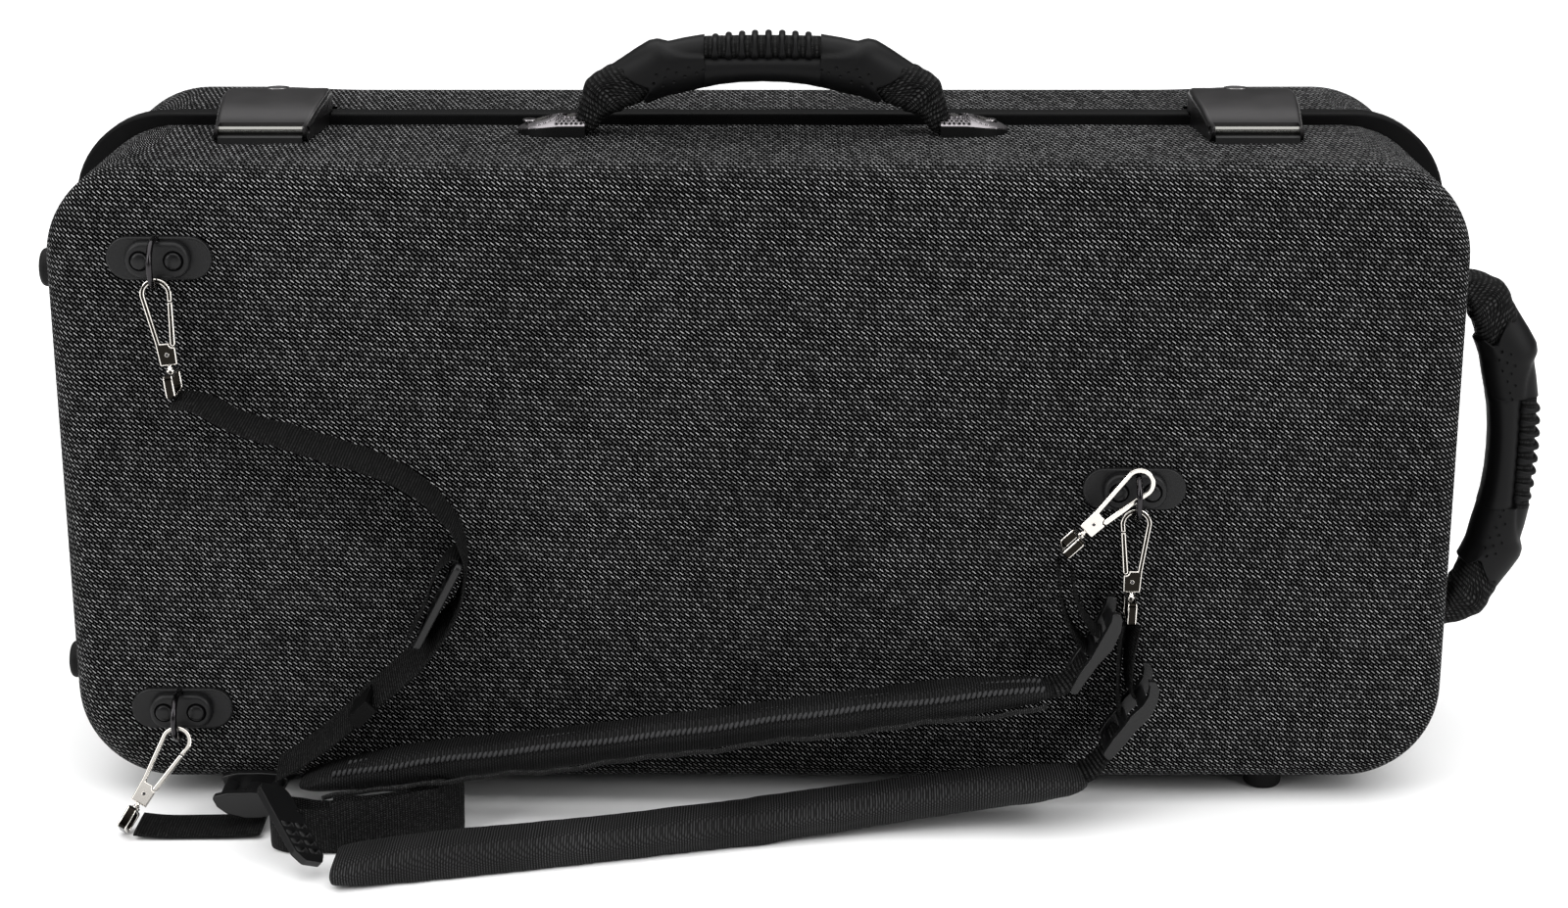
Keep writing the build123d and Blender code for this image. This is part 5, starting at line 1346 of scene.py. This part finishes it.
def pad_a_line(du, dv):
    a = np.asarray(PAD_A, float)

    def f(x):
        y = np.interp(x, a[:, 0], a[:, 1])
        z = np.interp(x, a[:, 0], a[:, 2])
        w = np.interp(x, a[:, 0], a[:, 3])
        t = np.interp(x, a[:, 0], a[:, 4])
        c, k = math.cos(math.radians(8)), math.sin(math.radians(8))
        u = w / 2 * du
        wob = 0.35 * math.sin(x * 0.05) + 0.3 * math.sin(x * 0.13 + 1)
        return (np.array([x, y - u * c, z + u * k + t / 2 * dv + wob]), np.array([0.0, 0.35, 1.0]), np.array([0.0, -0.8, 0.6]))
    return f


stitched_rim("upper_pad_seam_front", pad_a_line(0.80, 0.72), -192, 128, 2.35, (1.75, 0.85, 0.75), 0.55, M_SEAM)
stitched_rim("upper_pad_seam_rear", pad_a_line(0.30, 1.06), -186, 128, 2.35, (1.6, 0.8, 0.7), 0.55, M_SEAM)


def edge_cord(name, path, r, mat, body="root"):
    return tube_mesh(name, spline_pts(path, max(20, int(path_len(path) / 2.5))), r, mat, 12, body=body)


low_edge = []
a_ = np.asarray(PAD_A, float)
for i, x in enumerate(np.linspace(-196, 128, 60)):
    z = np.interp(x, a_[:, 0], a_[:, 2])
    t = np.interp(x, a_[:, 0], a_[:, 4])
    low_edge.append((x, -125.0 - 17.6 + 0.5 * math.sin(i * 0.9), z + 2.6 - t / 2 - 0.3 + 0.55 * math.sin(i * 0.55) + 0.35 * math.sin(i * 1.7)))
c_ = edge_cord("upper_pad_binding", low_edge, 1.15, M_PIPING)

# webbing that joins each pad to its buckle
flat_strap("upper_pad_end_webbing", [], [(128.0, -124.6, 66.8), (134.5, -124.2, 67.8), (139.5, -123.4, 70.4), (143.4, -122.6, 74.6), (146.4, -122.4, 79.6)],
           23.5, 3.2, "root", across_y(lambda q: 0.0), held="stretched", rests=("strap_a_buckle",), mat=M_WEB_HANDLE)
flat_strap("lower_pad_end_webbing", [], [(145.0, -125.4, 25.2), (151.0, -124.8, 28.2), (155.0, -123.8, 33.0), (159.4, -122.8, 39.6), (162.6, -122.4, 45.4)],
           23.5, 3.4, "root", across_y(lambda q: 0.0), held="stretched", rests=("strap_b_buckle",), mat=M_WEB_HANDLE)

# ------------------------------------------------------------------ handle brackets
def bracket_half_width(s):
    if s <= 96.5:
        return 12.2
    return 12.2 * max(0.0, 1 - ((s - 96.5) / 17.7) ** 2.1) ** 0.62


def bracket_top(s, w=0.0):
    edge = interp(s, [(82, 5.6), (95, 5.5), (100, 5.0), (105, 4.3), (109, 3.5), (112.5, 2.5), (114.2, 1.9)])
    crown = interp(s, [(82, 3.2), (95, 3.0), (105, 2.2), (111, 1.3), (114.2, 0.7)])
    q = min(1.0, abs(w) / max(0.5, bracket_half_width(s)))
    return edge + crown * (1 - q ** 2)


def bracket_mesh(name, body, place, side):
    """Cast end piece of a handle: nose-shaped, its top with a lattice of pits, a crescent groove and two eyelets."""
    ns, nw = 96, 64
    s_vals = np.concatenate([np.linspace(82.8, 108, 74), 108 + (114.1 - 108) * np.sin(np.linspace(0, math.pi / 2, 23))[1:]])
    ns = len(s_vals)
    verts, faces, kinds = [], [], []

    def feature(s, w):
        """(depth, kind) at a point of the top; kind 0 is the bright surface, 1 black, 2 the bright insert."""
        d = math.hypot((s - 103.8) / 1.18, w)
        if d < 2.9:
            return 0.35 - 0.35 * (d / 2.9) ** 2 * 0.6, 2
        if d < 4.6:
            return 1.3, 1
        e = math.hypot((s - 104.5) / 1.0, w)
        if 8.9 < e < 9.75 and s < 104.8:
            return 0.6, 1
        if s < 96.4 and e >= 9.75:
            d2 = math.hypot(s - 89.3, w)
            if d2 < 2.4:
                return 0.3, 2
            if d2 < 4.2:
                return 1.3, 1
            if d2 < 4.9:
                return 0.0, 0
            q = w / 1.95
            row = math.floor(q)
            ps = s / 2.25 + (0.5 if row % 2 else 0.0)
            fx, fy = ps - math.floor(ps) - 0.5, q - row - 0.5
            if math.hypot(fx * 2.25, fy * 1.95) < 0.84 and abs(w) < bracket_half_width(s) - 0.5:
                return 0.7, 1
        return 0.0, 0

    for s in s_vals:
        hw = bracket_half_width(s)
        for j in range(nw):
            t = -1 + 2 * j / (nw - 1.0)
            w = hw * math.sin(t * math.pi / 2) if s > 108 else hw * t
            edge = max(0.0, abs(t) - 0.94) / 0.06
            depth, kind = feature(s, w)
            verts.append(place(S_MID + side * (s - S_MID), bracket_top(s, w) - depth - 0.5 * edge ** 2, w))
    for i in range(ns - 1):
        for j in range(nw - 1):
            a = i * nw + j
            faces.append((a, a + nw, a + nw + 1, a + 1))
            sm = (s_vals[i] + s_vals[i + 1]) / 2
            tm = -1 + 2 * (j + 0.5) / (nw - 1.0)
            hw = bracket_half_width(sm)
            kinds.append(feature(sm, hw * math.sin(tm * math.pi / 2) if sm > 108 else hw * tm)[1])
    rim = [i * nw for i in range(ns)] + [(ns - 1) * nw + j for j in range(1, nw)] + \
          [i * nw + nw - 1 for i in range(ns - 2, -1, -1)] + [j for j in range(nw - 2, 0, -1)]
    base = len(verts)
    for v in rim:
        i, j = divmod(v, nw)
        s, hw = s_vals[i], bracket_half_width(s_vals[i])
        t = -1 + 2 * j / (nw - 1.0)
        w = hw * math.sin(t * math.pi / 2) if s > 108 else hw * t
        verts.append(place(S_MID + side * (s - S_MID), 0.05, w * 1.012))
    m = len(rim)
    for k in range(m):
        faces.append((rim[k], rim[(k + 1) % m], base + (k + 1) % m, base + k))
        kinds.append(3)
    faces.append(tuple(base + k for k in range(m)))
    kinds.append(3)
    o = add_mesh(name, verts, faces, None, body=body, sharp_deg=38)
    for mt in (M_BRIGHT_GUN, M_PIT, M_NICKEL, M_PIT):
        o.data.materials.append(mt)
    for p, kd in zip(o.data.polygons, kinds):
        p.material_index = kd
    fix_normals(o)
    return o


M_BRIGHT_GUN = mat_metal("polished_gunmetal", (0.24, 0.225, 0.235), 0.30, vary=0.16)
M_PIT = mat_plain("bracket_paint", (0.0035, 0.0035, 0.0036), 0.5, spec=0.12, grain=900.0)
for nm, nodes, place in (("top_brackets", ("handle_brackets_top",), TOP_PLACE),
                         ("end_brackets", ("handle_brackets_end",), END_PLACE)):
    o = join(nm, [bracket_mesh(nm + "_a", "root", place, -1), bracket_mesh(nm + "_b", "root", place, 1)], body="root")
    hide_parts(*nodes)

# ------------------------------------------------------------------ snap hooks
# Painted reflections of the snap hooks. A near-black copy of the nickel goes on the faces of hooks 1 and 4 and of every
# swivel strip, standing in for the dim surroundings they mirror. A dimmer copy goes on hooks 2 and 3, whose faces
# mirror the white floor.
M_NICKEL_PAINTED_DARK_REFLECTION = mat_metal("nickel_painted_dark_reflection", (0.012, 0.0105, 0.0085), 0.22, vary=0.5)
M_NICKEL_PAINTED_MID_REFLECTION = mat_metal("nickel_painted_mid_reflection", (0.62, 0.59, 0.55), 0.12, vary=0.25)


def two_tone(o, width, face_tone_or_painted_reflection_mat, edge_mat, segments=2, clamp=True):
    """Bevelled piece: the bevels take edge_mat and the faces the face material. On the snap hooks that face material is
    painted reflection: a darker copy of the nickel stands in for what the faces mirror, between bright nickel bevels.
    """
    o.data.materials.clear()
    o.data.materials.append(face_tone_or_painted_reflection_mat)
    o.data.materials.append(edge_mat)
    m = o.modifiers.new("bevel", "BEVEL")
    m.width = width / 1000.0
    m.segments = segments
    m.limit_method = "ANGLE"
    m.angle_limit = math.radians(30)
    m.harden_normals = True
    m.use_clamp_overlap = clamp
    m.material = 1
    apply_mods(o)
    return o


def lathe(name, origin, axis, profile, mat, body, seg=24):
    """Turned piece: profile of (height, radius) along an axis."""
    ax = np.asarray(axis, float); ax /= np.linalg.norm(ax)
    ref = np.array([0, 0, 1.0]) if abs(ax[2]) < 0.9 else np.array([1.0, 0, 0])
    e1 = np.cross(ax, ref); e1 /= np.linalg.norm(e1)
    e2 = np.cross(ax, e1)
    verts = []
    for h, r in profile:
        for k in range(seg):
            a = 2 * math.pi * k / seg
            verts.append(np.asarray(origin, float) + ax * h + r * (math.cos(a) * e1 + math.sin(a) * e2))
    n = len(profile)
    faces = grid_faces(n, seg) + [tuple(range(seg)), tuple(range((n - 1) * seg, n * seg))]
    o = add_mesh(name, verts, faces, mat, body=body, sharp_deg=35)
    fix_normals(o)
    return o


def arc(cx, cy, r, a0, a1, n):
    return [(cx + r * math.cos(math.radians(a0 + (a1 - a0) * k / n)), cy + r * math.sin(math.radians(a0 + (a1 - a0) * k / n)))
            for k in range(n + 1)]


def snap_hook(no, p, up, facing, s, ring_body, gate_body, face_tone_or_painted_reflection_mat):
    u = np.asarray(up, float); u /= np.linalg.norm(u)
    r = np.cross(u, np.asarray(facing, float)); r /= np.linalg.norm(r)
    z = np.cross(r, u)
    o3 = np.asarray(p, float)
    local = lambda a, b, c: o3 + r * a + u * b + z * c
    outline = [(-3.8, -32.3), (3.8, -32.3), (4.1, -24.4), (3.2, -24.4)] + arc(3.15, -22.9, 1.5, 268, 182, 6) + \
        [(1.6, -22.3), (-2.15, -22.3)] + arc(0, 0, 4.9, 180, -12, 26) + [(4.43, -3.9), (6.5, -3.9), (6.8, -1.8)] + \
        arc(0, 0, 7.0, 0, 180, 30) + [(-4.25, -22.3)]
    outline = [(s * a, b) for a, b in outline]
    fr = extrude_poly("hook_%s_loop" % no, outline, o3, r, u, -1.3, 1.3, None, ring_body)
    two_tone(fr, 0.5, face_tone_or_painted_reflection_mat, M_NICKEL, 3)
    rv = []
    for c in (1, -1):
        q = extrude_poly("rv", arc(0, 0, 0.95, 0, 337.5, 15), local(0, -27.4, c * 1.25), r, u, -0.28, 0.28, None, ring_body)
        two_tone(q, 0.18, M_GUN_DARK, M_NICKEL)
        rv.append(q)
    fr = join("hook_%s_loop" % no, [fr] + rv, body=ring_body)
    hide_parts("hook_%s_frame" % no)
    gate = [(s * a, b) for a, b in [(4.30, -4.3), (6.50, -4.3)] + arc(3.2, -22.9, 1.25, 0, -180, 6)]
    g = extrude_poly("hook_%s_gate_arm" % no, gate, o3, r, u, -0.9, 0.9, None, gate_body)
    two_tone(g, 0.58, face_tone_or_painted_reflection_mat, M_NICKEL, 3, clamp=False)
    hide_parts("hook_%s_gate" % no)
    # the swivel eye: a bent strip, a turned post and its knob
    outer = rounded_poly([(-8.5, -46.0), (8.5, -46.0), (8.5, -35.2), (-8.5, -35.2)], 2.0, 5)
    inner = rounded_poly([(-7.0, -44.5), (7.0, -44.5), (7.0, -36.7), (-7.0, -36.7)], 1.0, 4)
    ey = extrude_poly("hook_%s_strip" % no, outer, o3, z, u, -2.2, 2.2, None, ring_body, [inner])
    # the strip's faces take the near-black copy of the nickel as painted reflection, with bright nickel bevels
    two_tone(ey, 0.62, M_NICKEL_PAINTED_DARK_REFLECTION, M_NICKEL, 2)
    post = lathe("post", local(0, -35.4, 0), u, [(0, 1.6), (0.25, 2.0), (1.0, 2.0), (1.25, 1.55), (1.5, 1.35), (2.0, 1.35), (2.25, 1.0),
                                                 (2.6, 0.85), (6.5, 0.85)], M_NICKEL, ring_body)
    ey = join("hook_%s_swivel" % no, [ey, post], body=ring_body)
    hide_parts("hook_%s_eye" % no)


# hooks 1 and 4 get the near-black painted reflection on their faces, and hooks 2 and 3 the dimmer one
snap_hook("1", (-262.0, -115.0, 247.0), (-5.5, 0, 45.1), (0, -1, 0), 1, "ring_upper", "gate_1", M_NICKEL_PAINTED_DARK_REFLECTION)
snap_hook("2", (-265.6, -117.6, 37.7), (0.464, 0.527, 0.709), (0, -0.95, 0.3), 1, "ring_lower", "gate_2", M_NICKEL_PAINTED_MID_REFLECTION)
snap_hook("3", (168.7, -118.5, 161.7), (35, 0, 33.7), (0, -1, 0), 1, "ring_right", "gate_3", M_NICKEL_PAINTED_MID_REFLECTION)
snap_hook("4", (168.5, -113.0, 141.0), (1.4, 0, 46), (0, -1, 0), -1, "ring_right", "gate_4", M_NICKEL_PAINTED_DARK_REFLECTION)

# ------------------------------------------------------------------ domed rivets of the ring plates, each in a ring of painted shade where its crease would be dark
M_RIVET_PAINTED_SHADE = mat_plain("rivet_painted_shade_ring", (0.0008, 0.0008, 0.0009), 0.7, spec=0.02, grain=900.0)
heads = []
for rx, rz in ((-262.0, 260.5), (-264.5, 49.0), (168.3, 154.5)):
    for dx in (-7.4, 7.4):
        seat = (rx + dx, -110.4, rz)
        # a flat near-black ring round each head's foot: painted shade standing in for the dark crease
        heads.append(lathe("crease", seat, (0, -1, 0), [(-0.02, 4.6), (0.16, 4.5), (0.18, 3.5)], M_RIVET_PAINTED_SHADE, "root", 40))
        cap = [(0.85 + 0.95 * math.sin(math.radians(t)), 3.6 * math.cos(math.radians(t)) + 0.01) for t in range(0, 91, 10)]
        heads.append(lathe("head", seat, (0, -1, 0), [(0.0, 3.72), (0.55, 3.74), (0.76, 3.70)] + cap, M_RIVET_BLK, "root", 40))
rivet_heads = join("ring_rivet_heads", heads, body="root")
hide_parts("ring_rivets")


# ------------------------------------------------------------------ finger scoop of each latch, with a painted highlight round its rim
M_SCOOP = mat_metal("latch_scoop", (0.030, 0.029, 0.030), 0.32, vary=0.2)
# bright metal laid along the lever's top edges and scoop rim: painted highlight
M_PAINTED_EDGE_HIGHLIGHT = mat_metal("painted_edge_highlight", (0.42, 0.41, 0.41), 0.24, vary=0.1)


def lever_top(y):
    return float(np.interp(y, [-50.6, -46, -38, -30, -20, -12, -4, 3, 8, 13, 15.5, 17.6],
                           [308.7, 308.7, 310.2, 312.0, 313.9, 315.2, 316.05, 316.3, 316.1, 315.2, 314.4, 313.6]))


for lx, side in ((-225.0, "left"), (225.0, "right")):
    body = "latch_lever_" + side
    cx, cy, cz, rr = lx - 1.5, 9.5, 324.6, 10.42
    verts, faces = [(cx, cy, cz - rr)], []
    rings = 9
    half = math.acos((cz - 315.95) / rr)
    for i in range(1, rings + 1):
        a = half * i / rings
        for k in range(36):
            b = 2 * math.pi * k / 36
            verts.append((cx + rr * math.sin(a) * math.cos(b), cy + rr * math.sin(a) * math.sin(b), cz - rr * math.cos(a)))
    for k in range(36):
        faces.append((0, 1 + k, 1 + (k + 1) % 36))
    for i in range(rings - 1):
        for k in range(36):
            a = 1 + i * 36
            faces.append((a + k, a + 36 + k, a + 36 + (k + 1) % 36, a + (k + 1) % 36))
    cup = add_mesh("latch_%s_scoop" % side, verts, faces, M_SCOOP, body=body)
    md = cup.modifiers.new("t", "SOLIDIFY")
    md.thickness = 0.00025
    apply_mods(cup)
    # a bright ring round the scoop's rim: painted highlight
    rim = [(cx + (rr + 0.1) * math.sin(half * 0.985) * math.cos(b), cy + (rr + 0.1) * math.sin(half * 0.985) * math.sin(b),
            lever_top(cy + rr * math.sin(half) * math.sin(b)) + 0.02) for b in np.linspace(0, 2 * math.pi, 37)[:-1]]
    rimo = tube_mesh("rim", rim, 0.17, M_PAINTED_EDGE_HIGHLIGHT, 8, closed=True, body=body)
    cup = join("latch_%s_scoop" % side, [cup, rimo], body=body)
    # painted highlight line along the free edge and both flanks of the lever's top
    pts = []
    for y in np.linspace(-47.0, 8.0, 40):
        hw = np.interp(y, [-50.6, -8, 17.6], [20.9, 24.6, 24.2]) - 0.95
        pts.append((lx + hw, y, lever_top(y) - 0.55))
    wo = tube_mesh("latch_%s_worn_line" % side, pts, 0.16, M_PAINTED_EDGE_HIGHLIGHT, 8, body=body)

# ------------------------------------------------------------------ plush inside
def plush_block(name, node, body, seed, voxel=5.0):
    """Foam block under plush: its edges and sinks softened, its pile uneven."""
    src = bpy.data.objects[node]
    o = bpy.data.objects.new(name, src.data.copy())
    bpy.context.scene.collection.objects.link(o)
    o.matrix_world = src.matrix_world.copy()
    o.data.materials.clear()
    o.data.materials.append(M_PLUSH)
    md = o.modifiers.new("v", "REMESH")
    md.mode = "VOXEL"
    md.voxel_size = voxel / 1000.0
    md.use_smooth_shade = True
    sm = o.modifiers.new("s", "SMOOTH")
    sm.factor = 0.5
    sm.iterations = 3
    apply_mods(o)
    me = o.data
    co = np.empty(len(me.vertices) * 3)
    me.vertices.foreach_get("co", co)
    co = co.reshape(-1, 3)
    no = np.empty(len(me.vertices) * 3)
    me.vertices.foreach_get("normal", no)
    no = no.reshape(-1, 3)
    f = co * 1000.0
    wav = 0.16 * np.sin(f[:, 0] / 9.0 + seed) * np.sin(f[:, 1] / 7.0) + 0.14 * np.sin(f[:, 2] / 6.0 + f[:, 0] / 17.0 + seed)
    co -= no * (0.30 + wav)[:, None] / 1000.0
    me.vertices.foreach_set("co", co.ravel())
    me.update()
    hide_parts(node)
    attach(o, body)
    return o


plush_block("case_foam", "foam_insert", "root", 0.7)
plush_block("case_lid_foam", "lid_foam", "lid", 2.9)
